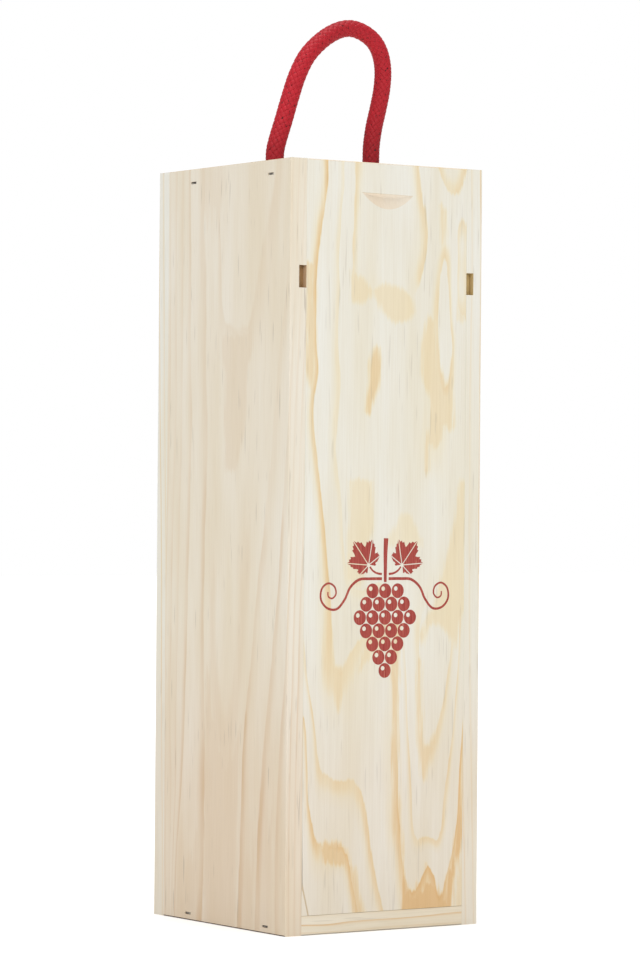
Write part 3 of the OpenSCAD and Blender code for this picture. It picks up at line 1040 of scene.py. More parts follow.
@dataclass
class Board:
    """One planed board: a copy of its solid with its long edges eased."""

    node: str
    pine: Pine
    slot: str = "pine"
    body: str = BOX
    # How far the box's outer edges are eased, and the edges at the joints
    outer_edge: float = 0.5
    joint_edge: float = 0.06
    shortest_edge: float = 20.0
    figure: Figure | None = None
    face: Face = Face.FRONT
    cell_across: float = 1.5
    cell_along: float = 3.0
    # The tones of the painted shadow along its lowest edges, where it meets the floor
    foot_shadow: dict[str, str] = field(default_factory=lambda: FOOT_SHADOW)
    # Where the wood lies in a slot, and the painted shade finishes of the left and the right slot
    slot_zone: Zone | None = None
    slots: tuple[Material, ...] = ()
    # Which way a face is turned that shows end grain, that is an underside painted with shade, or a
    # lowest edge painted with shadow
    end_facing: float = 0.6
    under_facing: float = -0.3
    foot_facing: tuple[float, float] = (-0.98, -0.2)

    def build(self) -> Object:
        """Make the board.

        Returns:
            The board's piece.
        """
        bm = copy_node(self.node)
        self._ease(bm)
        self._sort_faces(bm)
        if self.figure:
            self._cut(bm)
            self._write_rings(bm)
        self._swell(bm)
        finishes = [self.pine.build()]
        for word, tones in (("end grain", END_GRAIN_AND_UNDER_SHADE), ("foot edge", self.foot_shadow)):
            finishes.append(replace(self.pine, name=f"{self.pine.name} {word}", **tones).build())
        finishes += [*self.slots, *self._extra_finishes()]
        piece = make_piece(bm, f"{self.node}_board", *finishes)
        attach(piece, self.body)
        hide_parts(self.node)
        return piece

    def _ease(self, bm: bmesh.types.BMesh) -> None:
        """Round the long edges: a little at the joints, more on the box's outside.

        Args:
            bm: the board's mesh.
        """
        shell = Shell()
        long = self.shortest_edge
        ease_edges(bm, lambda e: e.calc_length() > long and shell.has(e), self.outer_edge, steps=3)
        ease_edges(bm, lambda e: e.calc_length() > long and not shell.has(e), self.joint_edge)

    def _sort_faces(self, bm: bmesh.types.BMesh) -> None:
        """Mark the faces cut across the fibres, and those that get painted shade: undersides, the
        box's lowest edges and the slots.

        Args:
            bm: the board's mesh.
        """
        fibres = 2 if self.pine.grain is Grain.UPRIGHT else 0
        steep, level = self.foot_facing
        bm.normal_update()
        for face in bm.faces:
            middle, facing = face.calc_center_median(), face.normal
            # Faces in a slot get the painted shade of the narrow recess
            if self.slot_zone and self.slot_zone.holds(middle):
                face.material_index = Finish.LEFT_SLOT_SHADE if middle.x < 0 else Finish.RIGHT_SLOT_SHADE
            # The lowest edges get a painted shadow where the box meets the floor
            elif middle.z < self.outer_edge and steep < facing.z < level:
                face.material_index = Finish.FOOT_SHADOW
            # End grain gets its own darker tones, and faces that look down get them as painted shade
            elif abs(facing[fibres]) > self.end_facing or facing.z < self.under_facing:
                face.material_index = Finish.END_GRAIN_AND_UNDER_SHADE

    def _extra_finishes(self) -> list[Material]:
        """Give the finishes that only this kind of board has."""
        return []

    def _cut(self, bm: bmesh.types.BMesh) -> None:
        """Cut the board into small cells, whose corners can hold its figure.

        Args:
            bm: the board's mesh.
        """
        low, high = box_mm(self.node)
        across, along, _ = self.face.value
        slice_mesh(bm, across, low[across], high[across], self.cell_across)
        slice_mesh(bm, along, low[along], high[along], self.cell_along)

    def _swell(self, bm: bmesh.types.BMesh) -> None:
        """Swell the board where it meets its neighbours, as wood does: here, not at all."""

    def _write_rings(self, bm: bmesh.types.BMesh) -> None:
        """Store the ring count and the latewood's depth at every corner.

        Args:
            bm: the board's mesh.
        """
        places = np.array([v.co for v in bm.verts])
        across, along, under = (places[:, axis] for axis in self.face.value)
        if self.face is Face.LEFT:
            across = -across
        under = under - box_mm(self.node)[0][self.face.value[2]]
        pools, pool_depths = self.figure.pools_at(across, along)
        stored = {
            RINGS: self.figure.rings_at(across, along, under) - RAGGED / 2,
            DEPTH: self.figure.depths_at(across, along),
            POOLS: pools,
            POOL_DEPTH: pool_depths,
        }
        for name, values in stored.items():
            layer = bm.verts.layers.float.new(name)
            for vertex, value in zip(bm.verts, values, strict=True):
                vertex[layer] = value


@dataclass
class LidBoard(Board):
    """The sliding lid: it fills its grooves but for a hair, and gapes a little low down at its
    left edge, where a hairline runs on from the gap across the corner."""

    # How far the lid swells at its sides and at its foot, and how thick the skin is that moves
    side_swell: float = 0.26
    foot_swell: float = 0.2
    skin: float = 0.2
    # The thickness of the wood in front of its tongues
    face_thickness: float = 3.1
    # The heights and widths of the gap at its left edge
    gap: tuple[tuple[float, float], ...] = ((20.5, 0.0), (24.0, 0.45), (30.0, 0.36), (52.0, 0.0))
    # The hairline's two ends and its width, and the corner that holds it
    hairline: tuple[tuple[float, float], ...] = ((-45.7, 23.0), (-42.2, 9.0))
    hairline_width: float = 0.8
    corner: tuple[float, float] = (-40.0, 0.3)
    # How far the face is moved in under the print, and how level it is
    sunk: float = 0.02
    level: float = 0.001
    # Where the notch lies: half its width at most, its depth at least and at most, how far under
    # the top its wall starts, its wall stops and its floor stops, and which way its faces look
    notch_half: float = 20.0
    notch_deep: tuple[float, float] = (0.03, 2.5)
    notch_drops: tuple[float, float, float] = (10.0, 20.0, 25.0)
    outward: float = -0.5
    # How far down the notch's wall leans for each millimetre of depth, and its worn edge
    wall_lean: float = 0.9
    notch_edge: float = 0.3

    def _extra_finishes(self) -> list[Material]:
        """Give the finishes of the thumb notch, its fresh-cut tone with painted shade, and of the left
        side's painted shade in the slot.
        """
        fresh = replace(self.pine, name="pine board lid notch", **FRESH_CUT_AND_SHADE)
        return [fresh.build(), Pine("pine of the lid side", **LID_SIDE_SHADE).build()]

    def _ease(self, bm: bmesh.types.BMesh) -> None:
        """Lean the thumb notch's wall and round its upper edge, where thumbs have worn them.

        Args:
            bm: the lid's mesh.
        """
        low, high = box_mm(self.node)
        starts, stops, _ = self.notch_drops
        wall = [v for v in bm.verts if v.co.y < low.y + self.notch_deep[1]]
        wall = [v for v in wall if abs(v.co.x) < self.notch_half]
        wall = [v for v in wall if high.z - stops < v.co.z < high.z - starts]
        top = max(v.co.z for v in wall)
        deepest = max(v.co.y for v in wall)
        slope = (deepest - low.y) / (top - min(v.co.z for v in wall))
        edge_line = [v for v in wall if v.co.z > top - TOUCHING]
        for vertex in edge_line:
            drop = self.wall_lean * (vertex.co.y - low.y)
            vertex.co -= Vector((0.0, drop * slope, drop))

        def worn(edge: bmesh.types.BMEdge) -> bool:
            """Say whether an edge is the notch's upper one, straight across the face."""
            return all(v.co.z > top - TOUCHING and v in edge_line for v in edge.verts)

        ease_edges(bm, worn, self.notch_edge, steps=3)
        super()._ease(bm)

    def _sort_faces(self, bm: bmesh.types.BMesh) -> None:
        """Mark the faces of the thumb notch as well.

        Args:
            bm: the lid's mesh.
        """
        for height in (SLOT_LOW, SLOT_HIGH):
            cut_mesh(bm, Vector((0.0, 0.0, height)), Vector((0.0, 0.0, 1.0)))
        super()._sort_faces(bm)
        low, high = box_mm(self.node)
        least, most = (low.y + deep for deep in self.notch_deep)
        floor = high.z - self.notch_drops[2]
        for face in bm.faces:
            middle, facing = face.calc_center_median(), face.normal
            cut_in = least < middle.y < most and facing.y < self.outward
            # The notch's hollow gets the fresh-cut tone with painted shade
            if cut_in and abs(middle.x) < self.notch_half and middle.z > floor:
                face.material_index = Finish.NOTCH
            # The lid's side seen in the left slot gets its own painted shade, lighter than the
            # tongue's
            elif face.material_index == Finish.LEFT_SLOT_SHADE and facing.x < self.outward:
                face.material_index = Finish.LID_SIDE_SHADE

    def _cut(self, bm: bmesh.types.BMesh) -> None:
        """Cut out the hairline too, and leave it brown.

        Args:
            bm: the lid's mesh.
        """
        super()._cut(bm)
        (x0, z0), (x1, z1) = self.hairline
        start = Vector((x0, 0.0, z0))
        square = Vector((z0 - z1, 0.0, x1 - x0)).normalized()
        half = self.hairline_width / 2
        edge, deepest = self.corner[0], box_mm(self.node)[0].y + self.corner[1]

        def at_corner(face: bmesh.types.BMFace) -> bool:
            """Say whether a small face belongs to the lower left corner of the lid's face."""
            middle = face.calc_center_median()
            return middle.x < edge and middle.y < deepest and middle.z < z0

        for off in (-half, half):
            cut_mesh(bm, start + square * off, square, filter(at_corner, bm.faces))
        for face in filter(at_corner, bm.faces):
            if abs((face.calc_center_median() - start).dot(square)) < half:
                face.material_index = Finish.END_GRAIN_AND_UNDER_SHADE

    def _swell(self, bm: bmesh.types.BMesh) -> None:
        """Move the lid's side faces and its foot out towards their neighbours.

        Args:
            bm: the lid's mesh.
        """
        low, high = box_mm(self.node)
        side = max(abs(v.co.x) for v in bm.verts if v.co.y < low.y + self.face_thickness / 3)
        for vertex in bm.verts:
            place = vertex.co
            in_front = place.y < low.y + self.face_thickness
            at_face = in_front and abs(abs(place.x) - side) < self.skin
            if at_face or abs(place.x) > high.x - self.skin:
                place.x += math.copysign(self.side_swell, place.x)
            if at_face and place.x < 0:
                place.x += float(np.interp(place.z, *zip(*self.gap, strict=True)))
            if place.z < low.z + self.skin:
                place.z -= self.foot_swell
            if place.y < low.y + self.level:
                place.y += self.sunk


# ---- Rope ---------------------------------------------------------------------------------

# The number of stretches of a smooth line between two of its points
ROPE_STEPS = 8
INK_STEPS = 6


@dataclass(frozen=True)
class BraidedCord:
    """Braided polyester cord, dyed wine red: filaments with a soft sheen, with painted shade where
    a strand dives under its neighbours, in the gaps between strands and along its length."""

    name: str = "braided polyester cord wine red"
    crest: str = "#BA1828"
    # Painted shade where a strand lies low under its neighbours
    valley_shade: str = "#620814"
    thread: float = 0.35
    thread_length: float = 4.0
    # Here and there a gap between the strands is painted dark, as shade
    gap: str = "#2C040A"
    # Painted shade along its length: darker at both ends, where it goes into the box, a little at
    # the top of the loop, and most on the right leg, where less light falls
    loop_length: float = 188.0
    painted_shade_along: tuple[tuple[float, str], ...] = (
        (0.0, "#C8B6B6"), (0.17, "#FFFFFF"), (0.33, "#FFFFFF"), (0.47, "#EBE1E1"),
        (0.6, "#F8F2F2"), (0.8, "#F2EAEA"), (0.98, "#C0AAAA"),
    )

    def build(self) -> Material:
        """Make the material, which follows each strand by its UV map.

        Returns:
            The cord's finish.
        """
        material, tree, shader = new_material(self.name)
        mix = {"kind": "Mix", "output": 2, "data_type": "RGBA"}
        lift = add_node(tree, "Attribute", output="Fac", attribute_name=LIFT)
        # UV is in millimetres: along the strand and round it; threads run along it
        strand = add_node(tree, "TexCoord", output="UV")
        scale = (1 / self.thread_length, 1 / self.thread, 1.0)
        place = add_node(tree, "VectorMath", {0: strand, 1: scale}, operation="MULTIPLY")
        threads = add_node(tree, "TexNoise", {"Vector": place, "Scale": 1.0, "Detail": 1.0})
        # Strands that lie low get the painted shade
        stops = [(0.0, self.valley_shade), (0.6, self.crest)]
        colour = add_node(tree, "ValToRGB", {"Fac": lift}, stops=stops)
        # Spots of 1.1 mm, kept where the strands lie low: painted shade in the gaps
        coords = add_node(tree, "TexCoord", output="Object")
        spots = add_node(tree, "TexNoise", {"Vector": coords, "Scale": 900.0})
        deep = add_node(tree, "Math", {0: lift, 1: -0.2, 2: spots}, operation="MULTIPLY_ADD")
        shown = add_node(tree, "MapRange", {"Value": deep, "From Min": 0.50, "From Max": 0.55})
        colour = add_node(tree, inputs={0: shown, 6: colour, 7: to_linear(self.gap)}, **mix)
        along = add_node(tree, "SeparateXYZ", {"Vector": strand}, "X")
        share = add_node(tree, "Math", {0: along, 1: self.loop_length}, operation="DIVIDE")
        # Painted shade along the rope's length
        shade_along_length = add_node(tree, "ValToRGB", {"Fac": share}, stops=self.painted_shade_along)
        stops = [(0.3, "#E4DADA"), (0.7, "#FFFFFF")]
        worn = add_node(tree, "ValToRGB", {"Fac": threads}, stops=stops)
        for shade in (shade_along_length, worn):
            shaded = {0: 1.0, 6: colour, 7: shade}
            colour = add_node(tree, inputs=shaded, blend_type="MULTIPLY", **mix)
        bump = add_node(tree, "Bump", {"Height": threads, "Strength": 0.4, "Distance": 0.05 * MM})
        feed(shader, {"Base Color": colour, "Normal": bump})
        feed(shader, {"Roughness": 0.6, "Specular IOR Level": 0.3})
        return material


def unit(rows: np.ndarray) -> np.ndarray:
    """Bring each row of an array to length 1."""
    return rows / np.linalg.norm(rows, axis=1, keepdims=True)


def tube_rings(middle: np.ndarray, beside: np.ndarray, out: np.ndarray, count: int) -> np.ndarray:
    """Lay a ring of points round each point of a line.

    Args:
        middle: the points of the line.
        beside: the way from each of them to one side of its ring.
        out: the way from each of them to its ring, square to that.
        count: the number of points of a ring.

    Returns:
        The points, ring by ring.
    """
    turns = 2 * math.pi * np.arange(count)[:, None] / count
    return middle[:, None] + np.cos(turns) * beside[:, None] + np.sin(turns) * out[:, None]


class TubeMesh:
    """Closed tubes, with how high each of their points lies, and UVs in millimetres."""

    def __init__(self) -> None:
        """Start without a tube."""
        self.points: list[np.ndarray] = []
        self.lifts: list[float] = []
        self.faces: list[tuple[int, ...]] = []
        self.uvs: list[tuple[float, float]] = []

    def add(self, rings: np.ndarray, lift: np.ndarray, step: float = 0.0, width: float = 0.0) -> None:
        """Add a tube.

        Args:
            rings: its points, ring by ring.
            lift: how high it lies at each ring, from 0 to 1.
            step: the distance between two rings.
            width: its width.
        """
        start, (count, n) = len(self.points), rings.shape[:2]
        self.points.extend(rings.reshape(-1, 3))
        self.lifts.extend(np.repeat(lift, n))
        for r in range(count - 1):
            for k in range(n):
                a, b = start + r * n + k, start + r * n + (k + 1) % n
                self.faces.append((b, a, a + n, b + n))
                u0, u1 = r * step, (r + 1) * step
                v0, v1 = k * width / 2, (k + 1) * width / 2
                self.uvs.extend(((u0, v1), (u0, v0), (u1, v0), (u1, v1)))
        for cap in (start, start + (count - 1) * n):
            ends = tuple(range(cap, cap + n))
            self.faces.append(ends if cap == start else ends[::-1])
            self.uvs.extend(((0.0, 0.0),) * n)

    def build(self, name: str, material: Material) -> Object:
        """Make a piece of the tubes.

        Args:
            name: the piece's name.
            material: its finish.

        Returns:
            The piece, in metres.
        """
        mesh = bpy.data.meshes.new(name)
        mesh.from_pydata(np.array(self.points) * MM, [], self.faces)
        mesh.attributes.new(LIFT, "FLOAT", "POINT").data.foreach_set("value", self.lifts)
        uv_layer = mesh.uv_layers.new(name="strand")
        uv_layer.data.foreach_set("uv", np.array(self.uvs, float).ravel())
        mesh.materials.append(material)
        mesh.polygons.foreach_set("use_smooth", [True] * len(mesh.polygons))
        mesh.update()
        return put_in_scene(name, mesh)


@dataclass(frozen=True)
class Braid:
    """A round braid: as many strands turning one way as the other, each passing over one and
    under the next."""

    diameter: float = 9.0
    strands_each_way: int = 8
    # Length of rope in which a strand goes once round
    lay: float = 27.0
    strand_width: float = 2.75
    strand_thickness: float = 0.95
    # How far a strand's middle moves out and in as it passes over and under
    weave: float = 0.2
    # The rope's thickness along its length, as shares of both
    swell: tuple[tuple[float, float], ...] = ((0.0, 1.0), (1.0, 1.0))
    samples_per_crossing: int = 2
    strand_sides: int = 6
    # The core: how far it lies inside the strands' middles, its sides, and how sparse its rings are
    core_inset: float = 0.1
    core_sides: int = 12
    core_every: int = 3

    def _even_path(self, path: np.ndarray, step: float) -> np.ndarray:
        """Space points evenly along a path.

        Args:
            path: the points of the path.
            step: the wanted distance between two points.

        Returns:
            The new points.
        """
        lengths = np.linalg.norm(np.diff(path, axis=0), axis=1)
        along = np.concatenate([[0.0], np.cumsum(lengths)])
        count = max(2, round(along[-1] / step) + 1)
        wanted = np.linspace(0.0, along[-1], count)
        return np.stack([np.interp(wanted, along, path[:, i]) for i in range(3)], axis=1)

    def _frames(self, line: np.ndarray) -> tuple[np.ndarray, np.ndarray]:
        """Carry two directions square to a line along it without twist.

        Args:
            line: the points of the line.

        Returns:
            The two directions at each point.
        """
        ways = unit(np.gradient(line, axis=0))
        first = np.array([0.0, 1.0, 0.0])
        normals = np.empty_like(line)
        for i, way in enumerate(ways):
            first = first - way * first.dot(way)
            first /= np.linalg.norm(first)
            normals[i] = first
        return normals, np.cross(ways, normals)

    def build(self, path: np.ndarray, name: str, material: Material) -> Object:
        """Braid the strands round a path and fill them with a core, which takes the painted shade
        between them.

        Args:
            path: the points of the rope's middle line.
            name: the piece's name.
            material: its finish.

        Returns:
            The rope's piece, in metres.
        """
        step = self.lay / (4 * self.strands_each_way * self.samples_per_crossing)
        line = self._even_path(path, step)
        normals, sides = self._frames(line)
        along = np.arange(len(line)) * step
        phase = 2 * math.pi * along / self.lay
        outer = self.diameter / 2 - self.strand_thickness / 2 - self.weave
        swell = np.interp(along / along[-1], *zip(*self.swell, strict=True))
        tubes = TubeMesh()
        for hand in (-1, 1):
            lift = hand * np.cos(self.strands_each_way * phase)
            radius = swell * (outer + self.weave * lift)
            for strand in range(self.strands_each_way):
                angle = (hand * phase + 2 * math.pi * strand / self.strands_each_way)[:, None]
                radial = np.cos(angle) * normals + np.sin(angle) * sides
                middle = line + radius[:, None] * radial
                beside = unit(np.cross(unit(np.gradient(middle, axis=0)), radial))
                beside, out = beside * self.strand_width / 2, radial * self.strand_thickness / 2
                rings = tube_rings(middle, beside, out, self.strand_sides)
                tubes.add(rings, 0.5 + 0.5 * lift, step, self.strand_width)
        rows = sorted({*range(0, len(line), self.core_every), len(line) - 1})
        reach = (swell * (outer - self.core_inset))[rows, None]
        core = tube_rings(line[rows], reach * sides[rows], reach * normals[rows], self.core_sides)
        tubes.add(core, np.zeros(len(rows)))
        return tubes.build(name, material)


@dataclass
class RopeHandle:
    """The rope: a loop over the box whose two ends go down through the top end."""

    diameter: float = 9.0
    span: float = 56.0
    plane_y: float = -3.0
    pivot_z: float = 364.8
    loop_height: float = 65.2
    # The loop's middle line: shares of half the span and of the loop's height
    loop: tuple[tuple[float, float], ...] = (
        (-1.00, 0.00), (-0.99, 0.06), (-0.94, 0.14), (-0.82, 0.29), (-0.69, 0.46),
        (-0.55, 0.62), (-0.35, 0.77), (-0.06, 0.89), (0.25, 0.97), (0.53, 1.00),
        (0.80, 0.98), (1.04, 0.92), (1.18, 0.83), (1.24, 0.71), (1.22, 0.57),
        (1.15, 0.43), (1.06, 0.28), (1.01, 0.15), (1.00, 0.06), (1.00, 0.00),
    )
    # Where the rope leaves the box, and where it meets its knots
    exit_z: float = 360.0
    end_z: float = 351.5
    bend_half: float = 7.0
    # It is fullest low in its left leg
    swell: tuple[tuple[float, float], ...] = (
        (0.0, 0.96), (0.08, 1.0), (0.16, 1.0), (0.35, 0.97), (0.5, 0.92), (0.8, 0.94), (1.0, 0.91),
    )
    finish: BraidedCord = field(default_factory=BraidedCord)

    def path(self) -> np.ndarray:
        """Work out the rope's middle line from one knot to the other.

        Returns:
            The points of the line.
        """
        half, between = self.span / 2, (self.end_z + self.pivot_z) / 2
        loop = [(u * half, self.pivot_z + v * self.loop_height) for u, v in self.loop]
        left, right = [[(x, self.end_z), (x, between)] for x in (-half, half)]
        line = smooth_line([*left, *loop, *reversed(right)], ROPE_STEPS)
        return np.insert(line, 1, self.plane_y, axis=1)

    def build(self) -> Object:
        """Braid the rope along its path, which bends where it comes up out of the holes.

        Returns:
            The rope's piece.
        """
        path = self.path()
        braid = Braid(diameter=self.diameter, swell=self.swell)
        rope = braid.build(path, "rope", self.finish.build())
        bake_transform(rope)
        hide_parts("rope_handle", "rope_end_left", "rope_end_right")
        return rope


@dataclass
class RopeKnot:
    """A stopper knot under the top end: the rope is wound round itself and tucked through."""

    side: int
    rope: RopeHandle
    diameter: float = 8.4
    # Its middle line, from the hole: down through the coil, up the coil and down to the tail's end
    down: tuple[tuple[float, float, float], ...] = (
        (0.0, 0.0, 353.0), (0.0, 0.0, 346.0), (0.0, 0.0, 338.0), (-0.6, 0.0, 332.5),
        (1.2, -1.2, 326.5),
    )
    coil_radius: float = 6.9
    coil_low: float = 330.5
    coil_high: float = 342.0
    coil_steps: int = 14
    turns: float = 1.6
    tail: tuple[tuple[float, float, float], ...] = (
        (-2.512, -4.325, 342.5), (-3.2, -2.6, 334.5), (-4.2, -1.2, 324.5), (-4.0, 0.0, 318.5),
    )

    def path(self) -> np.ndarray:
        """Work out the knot's middle line, from the hole to the end of the tail.

        Returns:
            The points of the line.
        """
        turns = np.linspace(0.0, 2 * math.pi * self.turns, self.coil_steps + 1)
        heights = np.linspace(self.coil_low, self.coil_high, self.coil_steps + 1)
        round_it = self.coil_radius * np.stack([np.cos(turns), np.sin(turns)])
        coil = zip(*round_it, heights, strict=True)
        line = smooth_line([*self.down, *coil, *self.tail], ROPE_STEPS)
        return line + np.array([self.side * self.rope.span / 2, self.rope.plane_y, 0.0])

    def build(self) -> Object:
        """Braid the knot.

        Returns:
            The knot's piece.
        """
        word = "left" if self.side < 0 else "right"
        cord = bpy.data.materials[self.rope.finish.name]
        knot = Braid(diameter=self.diameter).build(self.path(), f"stopper_knot_{word}", cord)
        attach(knot, BOX)
        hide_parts(f"rope_knot_{word}")
        return knot


# ---- Staples ------------------------------------------------------------------------------


@dataclass(frozen=True)
class StapleWire:
    """Galvanised steel wire, flattened and dulled: grey with a few dark spots from the gun."""

    name: str = "galvanised staple wire"
    bright: str = "#B8B2A8"
    dark: str = "#4A4440"

    def build(self) -> Material:
        """Make the material.

        Returns:
            The wire's finish.
        """
        material, tree, shader = new_material(self.name)
        coords = add_node(tree, "TexCoord", output="Object")
        # Spots of 1 mm
        spots = add_node(tree, "TexNoise", {"Vector": coords, "Scale": 1000.0, "Detail": 2.0})
        stops = [(0.42, self.dark), (0.6, self.bright)]
        colour = add_node(tree, "ValToRGB", {"Fac": spots}, stops=stops)
        rough = add_node(tree, "MapRange", {"Value": spots, "To Min": 0.35, "To Max": 0.6})
        feed(shader, {"Base Color": colour, "Roughness": rough, "Metallic": 0.8})
        return material


@dataclass
class Staples:
    """All the staples that hold two boards together: square wire with rounded shoulders."""

    node: str
    finish: Material
    edge: float = 0.18
    body: str = BOX

    def build(self) -> Object:
        """Make the staples.

        Returns:
            Their piece.
        """
        bm = copy_node(self.node)
        ease_edges(bm, lambda e: True, self.edge)
        piece = make_piece(bm, f"{self.node}_wire", self.finish)
        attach(piece, self.body)
        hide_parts(self.node)
        return piece


# ---- Print --------------------------------------------------------------------------------


@dataclass(frozen=True)
class PrintInk:
    """Screen printing ink on bare pine, dark wine red and matt; the tallest fibres and the
    hollows between them stay free of it."""

    name: str = "matt red printing ink"
    full: str = "#8F2C25"
    thin: str = "#A94C40"
    wood: str = "#DDBE9E"

    def build(self) -> Material:
        """Make the material.

        Returns:
            The ink's finish.
        """
        material, tree, shader = new_material(self.name)
        coords = add_node(tree, "TexCoord", output="Object")
        # Fibres are 0.5 mm wide and about 12 mm long
        scaled = {0: coords, 1: (2000.0, 2000.0, 80.0)}
        place = add_node(tree, "VectorMath", scaled, operation="MULTIPLY")
        fibres = add_node(tree, "TexNoise", {"Vector": place, "Scale": 1.0, "Detail": 3.0})
        stops = [(0.38, self.full), (0.66, self.thin), (0.8, self.wood)]
        colour = add_node(tree, "ValToRGB", {"Fac": fibres}, stops=stops)
        bump = add_node(tree, "Bump", {"Height": fibres, "Strength": 0.3, "Distance": 0.03 * MM})
        feed(shader, {"Base Color": colour, "Normal": bump, "Roughness": 0.7})
        return material


@dataclass
class VinePrint:
    """A bunch of grapes under two vine leaves, with a tendril curling out to each side.

    It is drawn lying down, x to the right and y up, and no two of its parts touch.
    """

    finish: Material
    middle: tuple[float, float] = (0.0, 150.0)
    face_y: float = -57.48
    ink: float = 0.03
    # The grapes: a grape's radius, how many lie in each row, and the distances between them
    grape: float = 3.5
    rows: tuple[int, ...] = (3, 4, 5, 4, 3, 2, 1)
    top_row: float = 9.3
    grape_step: float = 2.06
    row_step: float = 1.78
    grape_sides: int = 24
    # The bare round on a grape, as shares of its radius: its own radius and how far it is moved
    shine: float = 0.3
    shine_place: tuple[float, float] = (-0.32, 0.3)
    leaf_root: tuple[float, float] = (9.6, 21.4)
    # A leaf's first edge, its five veins and its last edge: the direction in degrees and the reach
    veins: tuple[tuple[float, float], ...] = (
        (-84, 3.8), (-42, 6.8), (4, 12.2), (52, 14.2), (100, 12.2), (146, 7.8), (188, 3.8),
    )
    # The rim from one vein to the next: the share of the way, and of the reach there
    rim: tuple[tuple[float, float], ...] = (
        (0.1, 0.89), (0.18, 0.92), (0.24, 0.83), (0.34, 0.86), (0.4, 0.74), (0.5, 0.66),
        (0.6, 0.74), (0.66, 0.86), (0.76, 0.83), (0.82, 0.92), (0.9, 0.89),
    )
    vein_half: float = 0.22
    veins_meet: float = 0.9
    # The lines, each with its width at its first and at its last point
    leaf_stalk: tuple[tuple[float, float], ...] = ((8.9, 20.6), (7.2, 18.8), (4.8, 17.6), (2.0, 17.2))
    leaf_stalk_widths: tuple[float, float] = (0.8, 1.1)
    tendril: tuple[tuple[float, float], ...] = (
        (1.9, 15.0), (9, 15.0), (15, 14.6), (20, 11.0), (23, 5.5), (27.5, 1.0), (33, 1.5),
        (36.5, 5.5), (36, 10.5), (32.5, 13), (29, 11.5), (28, 8.2), (30, 6), (32.3, 6.8), (32.6, 9),
    )
    tendril_widths: tuple[float, float] = (1.4, 0.7)
    stem: tuple[tuple[float, float], ...] = ((0, 13.4), (0, 20), (0, 27), (0.3, 34))
    stem_widths: tuple[float, float] = (1.5, 2.6)

    def build(self) -> Object:
        """Draw the print in thin ink on the lid's face.

        Returns:
            The print's piece.
        """
        bm = bmesh.new()
        for row, count in enumerate(self.rows):
            for i in range(count):
                x = (i - (count - 1) / 2) * self.grape_step * self.grape
                self._grape(bm, x, self.top_row - row * self.row_step * self.grape)
        for side in (-1, 1):
            self._leaf(bm, side)
            self._ribbon(bm, self.leaf_stalk, self.leaf_stalk_widths, side)
            self._ribbon(bm, self.tendril, self.tendril_widths, side)
        self._ribbon(bm, self.stem, self.stem_widths)
        flat = bm.faces[:]
        for face in flat:
            if face.normal.z < 0:
                face.normal_flip()
        grown = bmesh.ops.extrude_face_region(bm, geom=flat)
        raised = [v for v in grown["geom"] if isinstance(v, bmesh.types.BMVert)]
        bmesh.ops.translate(bm, verts=raised, vec=(0.0, 0.0, self.ink))
        stand = Matrix.Translation((self.middle[0], self.face_y + self.ink / 3, self.middle[1]))
        bm.transform(stand @ Matrix.Rotation(math.pi / 2, 4, "X"))
        bmesh.ops.recalc_face_normals(bm, faces=bm.faces)
        piece = make_piece(bm, "lid_print", self.finish)
        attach(piece, LID)
        return piece

    def _grape(self, bm: bmesh.types.BMesh, x: float, y: float) -> None:
        """Draw one grape: a disc with a small round of bare wood for the shine.

        Args:
            bm: the drawing.
            x: its middle.
            y: its middle.
        """
        rings = []
        for share, (u, v) in ((1.0, (0.0, 0.0)), (self.shine, self.shine_place)):
            place = Matrix.Translation((x + u * self.grape, y + v * self.grape, 0.0))
            made = bmesh.ops.create_circle(
                bm, segments=self.grape_sides, radius=share * self.grape, matrix=place
            )
            verts = set(made["verts"])
            rings += [e for e in bm.edges if e.verts[0] in verts and e.verts[1] in verts]
        bmesh.ops.bridge_loops(bm, edges=rings)

    def _leaf(self, bm: bmesh.types.BMesh, side: int) -> None:
        """Draw one vine leaf of five lobes: the stretches between its veins.

        Args:
            bm: the drawing.
            side: -1 for the left leaf, 1 for the right one.
        """

        def spot(degrees: float, reach: float, off: float = 0.0) -> tuple[float, float, float]:
            """Find a place of the leaf.

            Args:
                degrees: the direction from the leaf's root.
                reach: the distance from it.
                off: how far to the left of that direction.

            Returns:
                The place.
            """
            way = math.radians(degrees)
            x = self.leaf_root[0] + reach * math.cos(way) - off * math.sin(way)
            y = self.leaf_root[1] + reach * math.sin(way) + off * math.cos(way)
            return (side * x, y, 0.0)

        for (a, long_a), (b, long_b) in zip(self.veins, self.veins[1:], strict=False):
            outline = [spot(a, reach, self.vein_half) for reach in (self.veins_meet, long_a)]
            for share, reach in self.rim:
                length = long_a + (long_b - long_a) * share
                outline.append(spot(a + (b - a) * share, reach * length))
            outline += [spot(b, reach, -self.vein_half) for reach in (long_b, self.veins_meet)]
            bm.faces.new([bm.verts.new(place) for place in outline])

    def _ribbon(
        self,
        bm: bmesh.types.BMesh,
        points: Sequence[tuple[float, float]],
        widths: tuple[float, float],
        side: int = 1,
    ) -> None:
        """Draw a smooth line through some points.

        Args:
            bm: the drawing.
            points: the points.
            widths: its width at the first and at the last point.
            side: 1 for the points as they are, -1 for their mirror image.
        """
        line = smooth_line(points, INK_STEPS) * (side, 1)
        way = unit(np.gradient(line, axis=0))
        off = np.stack([-way[:, 1], way[:, 0]], axis=1) * np.linspace(*widths, len(line))[:, None] / 2
        edges = [[bm.verts.new((*place, 0.0)) for place in rim] for rim in (line - off, line + off)]
        pairs = list(zip(*edges, strict=True))
        for (a, b), (c, d) in zip(pairs, pairs[1:], strict=False):
            bm.faces.new((a, c, d, b))


# ---- The whole box ------------------------------------------------------------------------


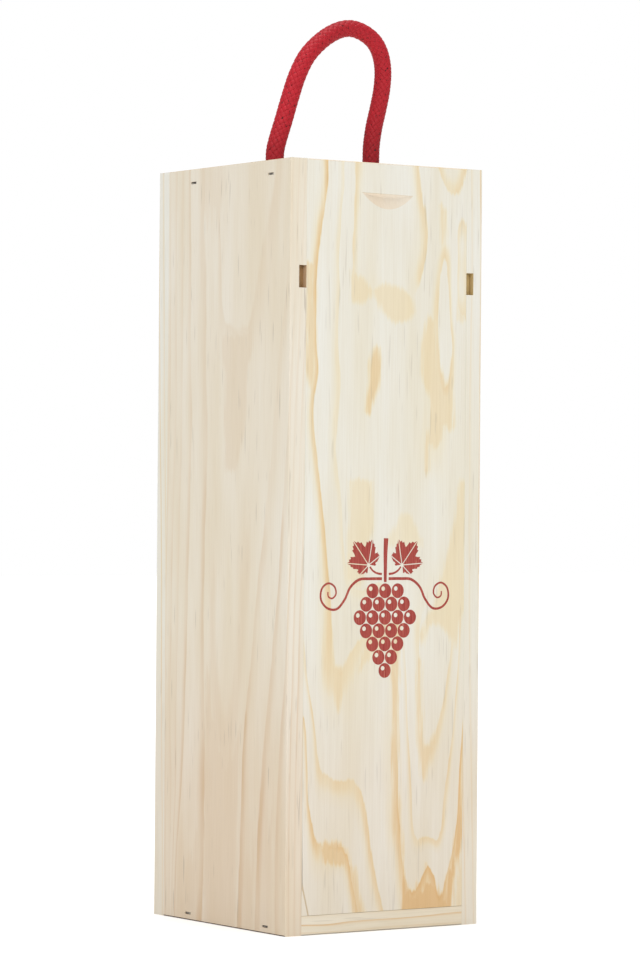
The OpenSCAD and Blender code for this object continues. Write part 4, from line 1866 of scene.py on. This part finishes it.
def boards(slots: tuple[Material, ...]) -> list[Board]:
    """Describe the boards.

    Args:
        slots: the painted shade finishes of the left and the right slot.

    Returns:
        The boards.
    """
    crosswise = Grain.CROSSWISE
    left = Pine(
        "pine board left",
        figured=True,
        ducts=0.4,
        late_start=0.38,
        **four_tones("#DDD6C8 #D8CDB8 #D0BB9D #C4A680"),
    )
    right = Pine("pine board right", pith=(150.0, -15.0), lean=(-1.0, 0.6))
    foot = Pine("pine board bottom", crosswise, figured=True, **four_tones("#E1DDCE #D7CDB4"))
    lid = Pine("pine board lid", figured=True, late_light="#E0CA8C", late_dark="#D2AE7C")
    grooved = {"slot_zone": PANEL_SLOTS, "slots": slots}
    bare_sides = {"slot_zone": LID_SIDES, "slots": slots}
    return [
        Board("side_panel_left", left, figure=SIDE_FIGURE, face=Face.LEFT, **grooved),
        Board("side_panel_right", right, **grooved),
        Board("back_panel", Pine("pine board back", pith=(15.0, 160.0), lean=(1.6, 0.3))),
        Board("bottom_end", foot, figure=FOOT_FIGURE, face=Face.FOOT, foot_shadow=PALE_FOOT_SHADOW),
        Board("top_end", Pine("pine board top", crosswise, pith=(-420.0, -60.0), ring_width=4.5)),
        Board("neck_rest", Pine("pine board rest", crosswise, pith=(-260.0, 70.0), ring_width=4.5)),
        LidBoard("sliding_lid", lid, "pine_lid", LID, figure=LID_FIGURE, **bare_sides),
    ]


def main() -> None:
    """Build the whole scene, sub-assembly by sub-assembly."""
    logging.basicConfig(level=logging.INFO, format="%(name)s: %(message)s")
    Studio().build()
    rope = RopeHandle()
    pieces = [rope.build()]
    pieces += [RopeKnot(side, rope).build() for side in (-1, 1)]
    # Painted shade for the wood in the two slots
    slot_shades = {"left": LEFT_SLOT_SHADE, "right": RIGHT_SLOT_SHADE}
    slots = tuple(Pine(f"pine in the {word} slot", **slot_shades[word]).build() for word in slot_shades)
    pieces += [board.build() for board in boards(slots)]
    wire = StapleWire().build()
    pieces += [Staples(node, wire).build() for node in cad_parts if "staples" in node]
    pieces.append(VinePrint(PrintInk().build()).build())
    for piece in pieces:
        log.info("%s: %d faces", piece.name, len(piece.data.polygons))


if __name__ == "__main__":
    main()
